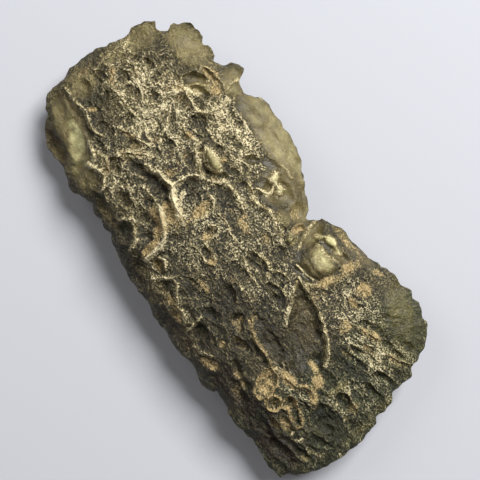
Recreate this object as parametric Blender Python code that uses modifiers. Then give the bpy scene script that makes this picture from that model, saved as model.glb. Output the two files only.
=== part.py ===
"""Moldavite: a flat slab of natural green glass, etched all over into pits, scallops and sharp crests.

The slab starts as a plate with the stone's outline. Each point of the plate then moves to the height that the
stone has there: a smooth crown above and belly below, rounded off at the rim, less the pits, plus the ridges.
The belly is ground flat where it meets the ground, so the stone rests on one broad flat spot.

Run it from Blender's text editor, or with: blender --background --python part.py
"""

import math
from typing import NamedTuple

import bmesh
import bpy
import numpy as np
from mathutils import Vector, noise

NAME = "moldavite"
MM = 0.001

# The plate that the stone is shaped from, in millimetres
PLATE_HALF_THICKNESS = 2.0
GRID = 0.42

# Rim and surface, in millimetres
SHOULDER_WIDTH = 2.2
SHOULDER_DROP = 0.75
LEAST_THICKNESS = 1.3
RIPPLE_SIZE = 3.4
RIPPLE_HEIGHT = 0.4
CRUMPLE_SIZE = 1.25
CRUMPLE_HEIGHT = 0.2

# Triangles that the finished stone keeps, and the seed for the pits of its underside
MOST_TRIANGLES = 9600
SEED = 7


class Spot(NamedTuple):
    """Heights of the crown and of the belly at a place, in millimetres above the ground."""

    x: float
    y: float
    top: float
    bottom: float


class Pit(NamedTuple):
    """An oval bowl etched into a face, in millimetres. turn is from +X towards +Y, in degrees."""

    x: float
    y: float
    length: float
    width: float
    turn: float
    depth: float


class Ridge(NamedTuple):
    """A crest along a line of points, in millimetres. width is across its foot."""

    width: float
    height: float
    points: tuple


# The stone's outline seen from above, in millimetres, anticlockwise from its left tip
OUTLINE = (
    (-33.2, -4.0), (-32.9, -6.5), (-32.2, -8.0), (-31.8, -10.8), (-30.5, -12.0), (-29.2, -12.8),
    (-28.4, -13.7), (-27.2, -14.6), (-25.6, -15.0), (-24.0, -15.0), (-22.6, -14.6), (-21.4, -14.9),
    (-19.9, -15.6), (-18.2, -15.4), (-16.9, -14.7), (-16.0, -14.1), (-14.6, -14.5), (-10.4, -14.4),
    (-8.9, -15.0), (-6.6, -15.4), (-4.0, -15.8), (-1.8, -15.6), (-0.2, -15.1), (1.8, -15.8),
    (5.0, -15.6), (6.6, -15.9), (8.8, -15.4), (11.4, -14.9), (12.4, -15.4), (13.6, -15.7),
    (15.3, -15.0), (15.6, -14.4), (18.2, -14.2), (19.3, -14.9), (21.0, -14.6), (24.0, -14.1),
    (28.2, -14.2), (30.4, -13.8), (31.5, -11.6), (33.1, -7.6), (32.7, -5.6), (32.9, -4.2),
    (32.7, -2.2), (31.7, 1.5), (31.0, 2.0), (31.1, 3.6), (30.7, 4.8), (29.5, 5.8),
    (29.5, 7.4), (29.0, 9.4), (28.1, 9.7), (27.8, 11.0), (27.0, 12.0), (26.6, 13.3),
    (25.0, 14.4), (24.2, 15.1), (22.6, 15.2), (21.2, 15.8), (20.0, 15.4), (19.2, 15.8),
    (17.6, 14.9), (15.9, 15.2), (14.6, 14.6), (13.2, 13.8), (11.0, 13.1), (8.6, 12.7),
    (6.6, 12.6), (5.2, 11.7), (4.0, 11.1), (3.4, 9.8), (2.7, 9.0), (1.8, 10.0),
    (0.4, 11.0), (-0.8, 11.1), (-2.4, 12.1), (-4.6, 13.1), (-6.4, 13.5), (-9.4, 13.8),
    (-11.6, 13.5), (-13.6, 13.7), (-15.0, 13.1), (-16.2, 11.9), (-17.6, 11.8), (-18.6, 12.7),
    (-19.2, 13.6), (-20.6, 12.9), (-21.6, 11.3), (-22.8, 10.8), (-23.3, 11.4), (-24.8, 11.3),
    (-25.4, 10.8), (-26.2, 11.5), (-28.8, 10.9), (-30.0, 9.0), (-29.5, 7.8), (-30.2, 6.9),
    (-31.4, 7.1), (-32.5, 6.0), (-32.6, 4.0), (-32.2, 2.0), (-32.7, 0.3), (-33.0, -2.0),
)

SPOTS = (
    # Along the rim, thin at the upper edge and at both ends, thick at the lower edge
    Spot(-33.2, -4.0, 6.2, 3.4),
    Spot(-32.5, 4.0, 6.4, 3.8),
    Spot(-30.0, 9.5, 6.6, 4.4),
    Spot(-24.0, 11.0, 6.8, 4.6),
    Spot(-19.0, 13.2, 6.9, 4.8),
    Spot(-11.0, 13.7, 6.9, 4.6),
    Spot(-4.0, 13.2, 6.7, 4.2),
    Spot(2.7, 9.0, 6.6, 3.6),
    Spot(8.0, 12.6, 6.8, 3.8),
    Spot(15.0, 15.0, 6.6, 3.6),
    Spot(21.0, 15.6, 6.3, 3.4),
    Spot(26.8, 13.0, 6.1, 3.4),
    Spot(29.5, 7.0, 6.1, 3.4),
    Spot(31.6, 1.5, 6.1, 3.2),
    Spot(33.0, -7.5, 6.0, 2.8),
    Spot(30.6, -13.8, 6.0, 2.4),
    Spot(24.0, -14.1, 6.4, 2.2),
    Spot(14.0, -15.5, 6.2, 2.0),
    Spot(4.0, -15.8, 6.0, 2.0),
    Spot(-5.0, -15.7, 6.0, 2.0),
    Spot(-14.0, -14.4, 6.4, 2.0),
    Spot(-20.0, -15.5, 5.8, 2.0),
    Spot(-26.0, -15.0, 4.8, 1.8),
    Spot(-31.8, -10.5, 5.6, 2.6),
    # Along the brow, where the flat crown breaks down to the rim
    Spot(-29.5, -3.0, 8.6, 1.6),
    Spot(-29.0, 3.5, 8.3, 2.3),
    Spot(-25.0, 8.2, 8.0, 3.0),
    Spot(-15.0, 9.6, 8.5, 2.6),
    Spot(-6.0, 9.6, 8.4, 2.2),
    Spot(2.0, 6.0, 9.8, 1.0),
    Spot(10.0, 9.4, 9.0, 1.8),
    Spot(19.0, 11.6, 7.9, 2.0),
    Spot(26.6, 7.4, 7.5, 2.0),
    Spot(29.0, -1.0, 7.6, 1.7),
    Spot(29.0, -9.0, 7.7, 1.2),
    Spot(22.0, -11.8, 8.7, 0.9),
    Spot(12.0, -12.6, 9.3, 0.7),
    Spot(2.0, -12.8, 9.5, 0.7),
    Spot(-7.0, -12.6, 9.5, 0.7),
    Spot(-17.0, -12.0, 9.0, 0.8),
    Spot(-25.5, -9.4, 8.4, 0.9),
    # Across the crown, from the left end to the right
    Spot(-22.0, -3.0, 9.6, 0.4),
    Spot(-21.0, 4.0, 9.2, 0.9),
    Spot(-12.0, 3.5, 10.1, 0.4),
    Spot(-11.0, -5.0, 10.6, 0.0),
    Spot(-2.0, 2.0, 10.5, 0.2),
    Spot(-1.0, -6.0, 10.8, -0.3),
    Spot(8.0, 1.0, 10.6, 0.0),
    Spot(8.0, -6.0, 10.7, -0.1),
    Spot(17.0, 4.5, 9.6, 0.7),
    Spot(17.0, -4.0, 10.0, 0.1),
    Spot(23.5, -2.0, 9.0, 0.8),
)

TOP_PITS = (
    # The long shield-shaped hollow and the smaller ones that open from it
    Pit(15.6, 1.6, 12.6, 5.0, -17, 1.7),
    Pit(18.8, -0.4, 7.0, 4.6, -38, 1.5),
    Pit(13.6, -4.0, 9.0, 2.7, -3, 1.2),
    Pit(18.8, -3.3, 4.4, 2.6, 5, 1.2),
    # The broken corner beside the notch
    Pit(5.0, 9.0, 5.4, 2.7, 112, 2.3),
    Pit(9.8, 10.6, 3.4, 2.0, 8, 1.7),
    Pit(8.9, 4.8, 4.8, 1.2, 12, 1.0),
    Pit(1.3, 8.9, 3.4, 2.8, -40, 1.3),
    Pit(3.4, 8.0, 2.4, 1.4, 75, 1.8),
    # The glassy lobe of the upper edge
    Pit(-3.6, 8.6, 5.6, 3.4, 35, 1.8),
    Pit(-8.8, 8.4, 4.4, 3.0, 40, 1.1),
    Pit(-8.0, 11.6, 6.0, 2.2, -4, 0.6),
    Pit(-14.6, 10.8, 4.6, 2.4, 20, 0.5),
    # Blade-shaped hollows round the three-armed crest
    Pit(-11.2, 2.3, 5.2, 1.1, -3, 1.1),
    Pit(-10.8, 4.9, 5.8, 1.1, 2, 0.9),
    Pit(-13.6, -4.9, 5.6, 1.3, 22, 1.3),
    Pit(-9.2, -6.1, 4.0, 1.5, -14, 1.1),
    Pit(-9.5, -1.8, 3.4, 3.6, 0, 1.0),
    Pit(-13.5, -1.6, 3.2, 2.8, 0, 0.6),
    Pit(-8.2, -9.6, 8.0, 3.0, -44, 1.6),
    Pit(-6.4, -1.9, 3.9, 1.7, -76, 0.9),
    Pit(-3.1, -2.9, 2.8, 1.5, -80, 0.8),
    Pit(-1.6, -4.7, 4.2, 1.2, 4, 0.7),
    # Hollows of the upper left
    Pit(-21.4, 7.2, 4.8, 2.2, 35, 1.4),
    Pit(-20.8, 9.5, 5.2, 1.2, 5, 0.8),
    Pit(-21.0, 4.4, 3.4, 1.8, 0, 0.9),
    Pit(-17.0, 4.1, 2.8, 2.0, -12, 0.9),
    Pit(-26.6, 9.2, 4.6, 3.0, 25, 0.6),
    Pit(-27.2, 4.4, 3.4, 1.6, 10, 0.6),
    Pit(-30.6, 4.6, 3.4, 2.4, 80, 0.6),
    # Hollows of the left end and the smooth flank below them
    Pit(-30.0, -4.6, 3.6, 2.8, 40, 0.9),
    Pit(-26.8, -4.0, 3.0, 2.6, 0, 0.9),
    Pit(-24.0, -0.7, 3.4, 2.2, 12, 0.8),
    Pit(-29.0, -6.9, 5.6, 2.0, 12, 0.8),
    Pit(-26.2, -10.7, 11.0, 4.0, -7, 1.9),
    Pit(-22.4, -8.9, 3.4, 1.8, -12, 0.9),
    Pit(-26.0, -14.6, 7.8, 3.4, -2, 1.9),
    Pit(-19.4, -0.4, 3.0, 2.0, 8, 0.8),
    Pit(-18.4, -3.5, 2.8, 2.0, 15, 0.8),
    Pit(-18.4, -9.0, 3.6, 2.2, -8, 1.0),
    # Scallops of the lower edge
    Pit(-18.9, -12.4, 4.2, 3.4, 0, 0.9),
    Pit(-14.4, -12.3, 4.4, 2.6, 5, 0.9),
    Pit(-10.8, -12.6, 4.6, 4.0, -20, 1.2),
    Pit(-5.0, -13.2, 2.6, 3.2, 0, 0.9),
    Pit(-1.6, -13.0, 3.4, 2.6, 40, 0.9),
    Pit(2.6, -13.0, 6.6, 2.4, -8, 1.3),
    Pit(7.8, -12.2, 3.8, 3.4, 0, 1.0),
    Pit(12.0, -13.4, 4.0, 2.2, 28, 1.2),
    Pit(17.4, -12.2, 5.0, 2.4, -6, 0.9),
    Pit(23.2, -12.1, 5.2, 2.6, 4, 0.9),
    Pit(28.6, -11.6, 4.6, 2.8, 14, 0.9),
    # Hollows of the middle
    Pit(-7.0, 3.5, 3.4, 2.2, 10, 0.9),
    Pit(-5.6, -8.0, 3.0, 2.0, -30, 0.6),
    Pit(-3.8, 1.4, 4.2, 1.4, 4, 0.6),
    Pit(1.6, 3.8, 3.4, 2.2, 0, 0.7),
    Pit(4.6, 3.2, 3.2, 2.4, 10, 0.8),
    Pit(4.0, -0.2, 4.4, 1.2, 12, 0.7),
    Pit(9.6, 1.4, 3.4, 1.4, 14, 0.9),
    Pit(3.2, -2.8, 3.6, 1.6, 8, 0.7),
    Pit(5.4, -5.8, 3.4, 2.6, -20, 1.0),
    Pit(9.2, -6.4, 2.8, 2.2, -35, 1.0),
    Pit(1.7, -9.8, 5.2, 2.8, -4, 1.0),
    Pit(7.2, -8.8, 3.4, 2.0, 24, 0.8),
    Pit(12.4, -7.4, 3.8, 1.8, 20, 0.8),
    Pit(12.4, -10.2, 4.6, 2.0, -10, 0.9),
    # Ring-shaped and oval hollows of the lower right
    Pit(18.5, -8.1, 5.0, 2.8, -60, 1.3),
    Pit(21.5, -8.9, 2.2, 2.2, 0, 1.2),
    Pit(22.9, -7.0, 2.8, 1.5, -8, 0.9),
    Pit(25.6, -7.6, 3.2, 1.2, -16, 0.7),
    Pit(23.6, -4.9, 3.8, 2.0, -6, 0.9),
    Pit(27.4, -8.9, 1.8, 1.6, 0, 0.8),
    # Grooves that fan out towards the right end
    Pit(16.6, 8.3, 4.2, 2.4, 55, 0.8),
    Pit(20.4, 8.4, 4.4, 1.2, 28, 0.9),
    Pit(20.8, 11.8, 4.4, 1.3, 56, 0.6),
    Pit(24.6, 8.8, 3.8, 1.2, 22, 0.9),
    Pit(26.4, 11.4, 2.6, 1.4, 38, 0.9),
    Pit(22.6, 5.4, 4.6, 1.2, 16, 0.8),
    Pit(27.8, 6.2, 3.8, 1.3, 24, 0.9),
    Pit(23.2, 2.4, 4.4, 1.3, 12, 0.8),
    Pit(28.2, 3.4, 4.4, 1.2, 14, 0.8),
    Pit(27.6, -0.2, 4.6, 1.8, 4, 0.9),
    Pit(28.0, -3.6, 5.4, 1.4, -2, 0.8),
    Pit(29.6, -6.4, 4.6, 1.3, 6, 0.8),
)

TOP_RIDGES = (
    # The three-armed crest
    Ridge(1.5, 0.8, ((-17.6, -5.9), (-14.2, -3.6), (-11.4, -3.2))),
    Ridge(1.2, 0.9, ((-11.4, -3.2), (-11.6, -1.4), (-10.8, 0.2))),
    Ridge(1.5, 0.9, ((-11.4, -3.2), (-9.0, -4.8), (-6.2, -5.3))),
    Ridge(1.6, 0.9, ((-10.2, -7.0), (-7.2, -8.2), (-5.4, -9.2), (-5.2, -11.6))),
    # The rim of the shield-shaped hollow, and the crest below its point
    Ridge(1.3, 0.8, ((9.2, 3.3), (12.4, 3.9), (16.4, 3.7), (19.6, 2.2), (21.8, -0.6))),
    Ridge(1.1, 0.6, ((9.6, 3.0), (11.2, 1.0), (13.0, -1.0), (15.0, -2.0))),
    Ridge(1.4, 0.7, ((17.2, -5.8), (19.8, -5.2), (21.8, -3.4))),
    # The swollen lens and the flake of the broken corner
    Ridge(4.4, 1.1, ((7.6, 7.0), (9.8, 7.8))),
    Ridge(1.3, 1.3, ((6.0, 8.8), (6.8, 10.4), (8.2, 10.2))),
    Ridge(1.4, 0.7, ((11.0, 4.6), (12.0, 7.0), (11.8, 10.2))),
    # The curled flake of the glassy lobe
    Ridge(1.4, 1.0, ((-4.8, 9.2), (-4.0, 8.0), (-3.0, 7.6), (-3.2, 6.6), (-4.6, 5.8))),
    # The blade between two grooves
    Ridge(1.6, 0.7, ((-14.0, 3.4), (-12.0, 3.6), (-9.6, 3.2))),
    # Crests above the smooth flank and over the scallops of the lower edge
    Ridge(1.5, 0.9, ((-31.4, -8.7), (-29.0, -8.6), (-26.8, -7.8), (-24.0, -8.4))),
    Ridge(1.3, 0.9, ((-24.6, -9.6), (-22.4, -10.3), (-20.4, -10.3))),
    Ridge(1.2, 0.7, ((-20.8, -11.2), (-18.9, -10.6), (-17.2, -11.6))),
    Ridge(1.2, 0.7, ((-12.4, -11.0), (-10.8, -10.5), (-8.6, -11.8))),
    Ridge(1.2, 0.7, ((-2.8, -12.4), (-0.4, -10.9), (2.2, -11.7), (5.4, -12.6))),
)

# Pits of the underside, spread at random. FLOW is how far they turn from the stone's length, in degrees
BELLY_PITS = 64
BELLY_PIT_LENGTH = (3.0, 7.6)
BELLY_PIT_SHAPE = (0.4, 0.75)
BELLY_PIT_DEPTH = (0.7, 1.8)
BELLY_FLOW = 25.0
FOOT_CLEAR = (9.0, 3.4)
FOOT_PLACE = (-1.0, -3.8)


def clear_scene():
    """Removes what Blender starts with."""
    for obj in list(bpy.data.objects):
        bpy.data.objects.remove(obj)


def new_collection(name):
    """A collection of that name in the scene."""
    collection = bpy.data.collections.new(name)
    bpy.context.scene.collection.children.link(collection)
    return collection


def plate(collection):
    """A flat plate with the stone's outline, divided into an even grid all over."""
    curve = bpy.data.curves.new("outline", "CURVE")
    curve.dimensions = "2D"
    curve.fill_mode = "BOTH"
    curve.extrude = PLATE_HALF_THICKNESS * MM
    spline = curve.splines.new("POLY")
    spline.points.add(len(OUTLINE) - 1)
    for point, (x, y) in zip(spline.points, OUTLINE):
        point.co = (x * MM, y * MM, 0.0, 1.0)
    spline.use_cyclic_u = True
    outline = bpy.data.objects.new("outline", curve)
    collection.objects.link(outline)

    graph = bpy.context.evaluated_depsgraph_get()
    mesh = bpy.data.meshes.new_from_object(outline.evaluated_get(graph))
    bpy.data.objects.remove(outline)
    closed = bmesh.new()
    closed.from_mesh(mesh)
    bmesh.ops.remove_doubles(closed, verts=closed.verts, dist=0.01 * MM)
    closed.to_mesh(mesh)
    closed.free()

    blank = bpy.data.objects.new("plate", mesh)
    collection.objects.link(blank)
    remesh = blank.modifiers.new("grid", "REMESH")
    remesh.mode = "VOXEL"
    remesh.voxel_size = GRID * MM
    graph = bpy.context.evaluated_depsgraph_get()
    mesh = bpy.data.meshes.new_from_object(blank.evaluated_get(graph))
    bpy.data.objects.remove(blank)
    mesh.name = NAME
    return mesh


def line_distance(x, y, line):
    """How far each point lies from a line of points, in the plane."""
    nearest = np.full(len(x), np.inf)
    for (ax, ay), (bx, by) in zip(line, line[1:]):
        along_x, along_y = bx - ax, by - ay
        share = ((x - ax) * along_x + (y - ay) * along_y) / (along_x**2 + along_y**2)
        share = np.clip(share, 0.0, 1.0)
        nearest = np.minimum(nearest, np.hypot(x - ax - share * along_x, y - ay - share * along_y))
    return nearest


def between_spots(x, y, heights):
    """Heights at x and y that pass through the given height at each spot and run evenly between them."""
    at = np.array([(spot.x, spot.y) for spot in SPOTS])
    count = len(at)
    apart = np.hypot(*(at[:, None] - at[None]).transpose(2, 0, 1))
    system = np.ones((count + 1, count + 1))
    system[:count, :count] = apart
    system[count, count] = 0.0
    weights = np.linalg.solve(system, [*heights, 0.0])
    reach = np.hypot(x[:, None] - at[:, 0], y[:, None] - at[:, 1])
    return reach @ weights[:count] + weights[count]


def carved(x, y, pits):
    """How deep the pits lie at each point. Where two meet, the deeper one wins, which leaves a sharp crest."""
    depth = np.zeros(len(x))
    for pit in pits:
        turn = math.radians(pit.turn)
        along = (x - pit.x) * math.cos(turn) + (y - pit.y) * math.sin(turn)
        across = (y - pit.y) * math.cos(turn) - (x - pit.x) * math.sin(turn)
        reach = (2 * along / pit.length) ** 2 + (2 * across / pit.width) ** 2
        depth = np.maximum(depth, pit.depth * (1.0 - reach))
    return depth


def raised(x, y, ridges):
    """How high the ridges stand at each point."""
    height = np.zeros(len(x))
    for ridge in ridges:
        share = 1.0 - line_distance(x, y, ridge.points) / (ridge.width / 2)
        height = np.maximum(height, ridge.height * np.clip(share, 0.0, None) ** 0.8)
    return height


def belly_pits():
    """The pits of the underside, which run roughly along the stone and leave the flat spot clear."""
    chance = np.random.default_rng(SEED)
    found = []
    while len(found) < BELLY_PITS:
        x, y = chance.uniform(-32.0, 32.0), chance.uniform(-15.0, 15.0)
        length = chance.uniform(*BELLY_PIT_LENGTH)
        clear_x, clear_y = FOOT_CLEAR[0] + length / 2, FOOT_CLEAR[1] + length / 2
        on_foot = ((x - FOOT_PLACE[0]) / clear_x) ** 2 + ((y - FOOT_PLACE[1]) / clear_y) ** 2 < 1.0
        width = length * chance.uniform(*BELLY_PIT_SHAPE)
        turn = chance.normal(0.0, BELLY_FLOW)
        depth = chance.uniform(*BELLY_PIT_DEPTH)
        if not on_foot:
            found.append(Pit(x, y, length, width, turn, depth))
    return found


def rough(points, size, height):
    """A steady unevenness of that grain size and height at each point, in millimetres."""
    return np.array([noise.noise(Vector(point / size)) for point in points]) * height


def shape_stone(mesh):
    """Moves the plate's points to the stone's crown, belly and rim."""
    flat = np.empty(len(mesh.vertices) * 3)
    mesh.vertices.foreach_get("co", flat)
    points = flat.reshape(-1, 3) / MM
    x, y = points[:, 0].copy(), points[:, 1].copy()
    level = np.clip(0.5 + points[:, 2] / (2 * PLATE_HALF_THICKNESS), 0.0, 1.0)

    inward = line_distance(x, y, OUTLINE + OUTLINE[:1])
    shoulder = SHOULDER_DROP * np.clip(1.0 - inward / SHOULDER_WIDTH, 0.0, 1.0) ** 2
    top = between_spots(x, y, [spot.top for spot in SPOTS]) - shoulder
    bottom = between_spots(x, y, [spot.bottom for spot in SPOTS]) + shoulder
    top += raised(x, y, TOP_RIDGES) - carved(x, y, TOP_PITS)
    bottom += carved(x, y, belly_pits())
    middle = (top + bottom) / 2
    half = np.maximum(top - bottom, LEAST_THICKNESS) / 2
    points[:, 2] = middle + half * (2 * level - 1)

    outward = 2 * level - 1
    ripple = rough(points, RIPPLE_SIZE, RIPPLE_HEIGHT) + rough(points, CRUMPLE_SIZE, CRUMPLE_HEIGHT)
    points[:, 2] += ripple * outward * np.clip(inward / SHOULDER_WIDTH, 0.3, 1.0)
    near_rim = np.clip(1.0 - inward / SHOULDER_WIDTH, 0.0, 1.0)
    for axis, offset in ((0, (17.0, 0.0, 0.0)), (1, (0.0, 31.0, 0.0))):
        points[:, axis] += near_rim * rough(points + offset, CRUMPLE_SIZE, 2 * CRUMPLE_HEIGHT)

    mesh.vertices.foreach_set("co", (points * MM).ravel())
    mesh.update()


def ground_block(collection):
    """The block below the ground that grinds the belly flat. It is a cutter, so it isn't part of the stone."""
    bpy.ops.mesh.primitive_cube_add(size=1.0, location=(0, 0, -5 * MM), scale=(90 * MM, 50 * MM, 10 * MM))
    block = bpy.context.object
    block.name = "ground_block"
    block.hide_render = True
    block.display_type = "WIRE"
    for holder in list(block.users_collection):
        holder.objects.unlink(block)
    collection.objects.link(block)
    return block


def glass():
    """Olive green natural glass, finely etched, so its shine is broken up."""
    material = bpy.data.materials.new("moldavite_glass")
    material.use_nodes = True
    shader = material.node_tree.nodes["Principled BSDF"]
    shader.inputs["Base Color"].default_value = (0.085, 0.095, 0.050, 1.0)
    shader.inputs["Roughness"].default_value = 0.35
    shader.inputs["Metallic"].default_value = 0.0
    shader.inputs["IOR"].default_value = 1.49
    return material


def centre_over_origin(stone):
    """Moves the stone's points so that its box is centred over the origin."""
    graph = bpy.context.evaluated_depsgraph_get()
    finished = stone.evaluated_get(graph).to_mesh()
    flat = np.empty(len(finished.vertices) * 3)
    finished.vertices.foreach_get("co", flat)
    stone.evaluated_get(graph).to_mesh_clear()
    at = flat.reshape(-1, 3)
    middle = (at.min(axis=0) + at.max(axis=0)) / 2
    for vertex in stone.data.vertices:
        vertex.co.x -= middle[0]
        vertex.co.y -= middle[1]


def main():
    """Builds the stone."""
    clear_scene()
    stones = new_collection("moldavite")
    cutters = new_collection("cutters")

    mesh = plate(stones)
    shape_stone(mesh)
    stone = bpy.data.objects.new(NAME, mesh)
    stones.objects.link(stone)
    stone.data.materials.append(glass())

    thin_out = stone.modifiers.new("facets", "DECIMATE")
    mesh.calc_loop_triangles()
    thin_out.ratio = MOST_TRIANGLES / len(mesh.loop_triangles)
    thin_out.use_collapse_triangulate = True
    grind = stone.modifiers.new("flat_spot", "BOOLEAN")
    grind.operation = "DIFFERENCE"
    grind.object = ground_block(cutters)
    centre_over_origin(stone)


main()
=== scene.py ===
"""A moldavite: one flat slab of olive green natural glass, etched all over.

The stone rests on a pale floor. It is thick and nearly black along its middle and its lower edge, where
painted shade darkens it further, and thin, olive and milky along its upper edge and at its left end. Etching
has cut it into pits with sharp crests between them. The crests are frosted cream, some of the pits hold tan
clay, and the larger hollows have smooth dark floors.
Its places are written as they are seen from above, in millimetres, with +X along the stone.
"""

import logging
import math
from dataclasses import dataclass, field
from enum import Enum
from typing import NamedTuple

import bpy
import numpy as np
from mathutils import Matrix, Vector, noise

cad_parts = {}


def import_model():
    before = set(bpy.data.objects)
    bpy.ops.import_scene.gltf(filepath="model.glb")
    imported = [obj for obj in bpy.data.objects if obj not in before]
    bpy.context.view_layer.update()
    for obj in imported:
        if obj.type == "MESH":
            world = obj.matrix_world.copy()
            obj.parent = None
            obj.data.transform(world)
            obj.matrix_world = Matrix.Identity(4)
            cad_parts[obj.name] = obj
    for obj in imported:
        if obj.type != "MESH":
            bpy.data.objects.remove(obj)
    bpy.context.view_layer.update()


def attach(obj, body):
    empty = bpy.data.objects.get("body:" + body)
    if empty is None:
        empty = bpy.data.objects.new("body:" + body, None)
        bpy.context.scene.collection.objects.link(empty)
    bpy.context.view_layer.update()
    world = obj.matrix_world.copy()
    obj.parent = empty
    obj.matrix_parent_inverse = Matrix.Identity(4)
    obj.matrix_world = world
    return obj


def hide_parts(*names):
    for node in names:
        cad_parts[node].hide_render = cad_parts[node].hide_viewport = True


LOG = logging.getLogger("moldavite")
MM = 0.001
CAD_NODE = "moldavite"

Array = np.ndarray


class Floor(Enum):
    """What the floor of a hollow looks like."""

    ETCHED = "etched"
    POLISHED = "polished"
    CLAY = "clay"
    MILKY = "milky"


class Spot(NamedTuple):
    """Heights of the crown and of the belly at a place, in millimetres above the ground."""

    x: float
    y: float
    top: float
    bottom: float


class Hollow(NamedTuple):
    """An oval bowl in a face, in millimetres. turn is from +X towards +Y, in degrees."""

    x: float
    y: float
    length: float
    width: float
    turn: float
    depth: float
    floor: Floor = Floor.ETCHED


class Crest(NamedTuple):
    """A sharp ridge along a line, in millimetres. cream and clay say how frosted and how tan it is; along the
    top edge of the swollen shell the cream is a painted highlight.
    """

    width: float
    height: float
    cream: float
    points: tuple
    clay: float = 0.0


class Basin(NamedTuple):
    """A hollow with its own outline, in millimetres. wall is its wall's width. A depth below 0 swells."""

    depth: float
    wall: float
    outline: tuple


class Groove(NamedTuple):
    """A narrow cut along a line of points, in millimetres."""

    width: float
    depth: float
    points: tuple


class Pits(NamedTuple):
    """Small etched pits side by side: the size of one along each axis and its depth, in millimetres.

    shift moves the pattern, so that no two kinds of pits repeat each other. The ray pits' size is in units of
    the rays, which are already about one pit each.
    """

    size: tuple
    depth: float
    shift: float = 0.0


class Patch(NamedTuple):
    """A soft-edged oval area, in millimetres, and how strongly it holds, where 1 is fully."""

    x: float
    y: float
    length: float
    width: float
    turn: float
    strength: float


OUTLINE = (
    (-33.2, -4), (-32.9, -6.5), (-32.2, -8), (-31.8, -10.8), (-30.5, -12), (-29.2, -12.8), (-28.4, -13.7),
    (-27.2, -14.6), (-25.6, -15), (-24, -15), (-22.6, -14.6), (-21.4, -14.9), (-19.9, -15.6),
    (-18.2, -15.4), (-16.9, -14.7), (-16, -14.1), (-14.6, -14.5), (-10.4, -14.4), (-8.9, -15),
    (-6.6, -15.4), (-4, -15.8), (-1.8, -15.6), (-0.2, -15.1), (1.8, -15.8), (5, -15.6), (6.6, -15.9),
    (8.8, -15.4), (11.4, -14.9), (12.4, -15.4), (13.6, -15.7), (15.3, -15), (15.6, -14.4), (18.2, -14.2),
    (19.3, -14.9), (21, -14.6), (24, -14.1), (28.2, -14.2), (30.4, -13.8), (31.5, -11.6), (33.1, -7.6),
    (32.7, -5.6), (32.9, -4.2), (32.7, -2.2), (31.7, 1.5), (31, 2), (31.1, 3.6), (30.7, 4.8), (29.5, 5.8),
    (29.5, 7.4), (29, 9.4), (28.1, 9.7), (27.8, 11), (27, 12), (26.6, 13.3), (25, 14.4), (24.2, 15.1),
    (22.6, 15.2), (21.2, 15.8), (20, 15.4), (19.2, 15.8), (17.6, 14.9), (15.9, 15.2), (14.6, 14.6),
    (13.2, 13.8), (11, 13.1), (8.6, 12.7), (6.6, 12.6), (5.2, 11.7), (4, 11.1), (3.4, 9.8), (2.7, 9),
    (1.8, 10), (0.4, 11), (-0.8, 11.1), (-2.4, 12.1), (-4.6, 13.1), (-6.4, 13.5), (-9.4, 13.8),
    (-11.6, 13.5), (-13.6, 13.7), (-15, 13.1), (-16.2, 11.9), (-17.6, 11.8), (-18.6, 12.7), (-19.2, 13.6),
    (-20.6, 12.9), (-21.6, 11.3), (-22.8, 10.8), (-23.3, 11.4), (-24.8, 11.3), (-25.4, 10.8),
    (-26.2, 11.5), (-28.8, 10.9), (-30, 9), (-29.5, 7.8), (-30.2, 6.9), (-31.4, 7.1), (-32.5, 6),
    (-32.6, 4), (-32.2, 2), (-32.7, 0.3), (-33, -2),
)

SPOTS = (
    # Along the rim, thin at the upper edge and at both ends, thick at the lower edge
    Spot(-33.2, -4, 6.2, 3.4), Spot(-32.5, 4, 6.4, 3.8), Spot(-30, 9.5, 6.6, 4.4),
    Spot(-24, 11, 6.8, 4.6), Spot(-19, 13.2, 6.9, 4.8), Spot(-11, 13.7, 6.9, 4.6),
    Spot(-4, 13.2, 6.7, 4.2), Spot(2.7, 9, 6.6, 3.6), Spot(8, 12.6, 6.8, 3.8), Spot(15, 15, 6.6, 3.6),
    Spot(21, 15.6, 6.3, 3.4), Spot(26.8, 13, 6.1, 3.4), Spot(29.5, 7, 6.1, 3.4),
    Spot(31.6, 1.5, 6.1, 3.2), Spot(33, -7.5, 6, 2.8), Spot(30.6, -13.8, 6, 2.4),
    Spot(24, -14.1, 6.4, 2.2), Spot(14, -15.5, 6.2, 2), Spot(4, -15.8, 6, 2), Spot(-5, -15.7, 6, 2),
    Spot(-14, -14.4, 6.4, 2), Spot(-20, -15.5, 5.8, 2), Spot(-26, -15, 4.8, 1.8),
    Spot(-31.8, -10.5, 5.6, 2.6),
    # Along the brow, where the flat crown breaks down to the rim
    Spot(-29.5, -3, 8.6, 1.6), Spot(-29, 3.5, 8.3, 2.3), Spot(-25, 8.2, 8, 3), Spot(-15, 9.6, 8.5, 2.6),
    Spot(-6, 9.6, 8.4, 2.2), Spot(2, 6, 9.8, 1), Spot(10, 9.4, 9, 1.8), Spot(19, 11.6, 7.9, 2),
    Spot(26.6, 7.4, 7.5, 2), Spot(29, -1, 7.6, 1.7), Spot(29, -9, 7.7, 1.2), Spot(22, -11.8, 8.7, 0.9),
    Spot(12, -12.6, 9.3, 0.7), Spot(2, -12.8, 9.5, 0.7), Spot(-7, -12.6, 9.5, 0.7),
    Spot(-17, -12, 9, 0.8), Spot(-25.5, -9.4, 8.4, 0.9),
    # Across the crown, from the left end to the right
    Spot(-22, -3, 9.6, 0.4), Spot(-21, 4, 9.2, 0.9), Spot(-12, 3.5, 10.1, 0.4), Spot(-11, -5, 10.6, 0),
    Spot(-2, 2, 10.5, 0.2), Spot(-1, -6, 10.8, -0.3), Spot(8, 1, 10.6, 0), Spot(8, -6, 10.7, -0.1),
    Spot(17, 4.5, 9.6, 0.7), Spot(17, -4, 10, 0.1), Spot(23.5, -2, 9, 0.8),
)

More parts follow.
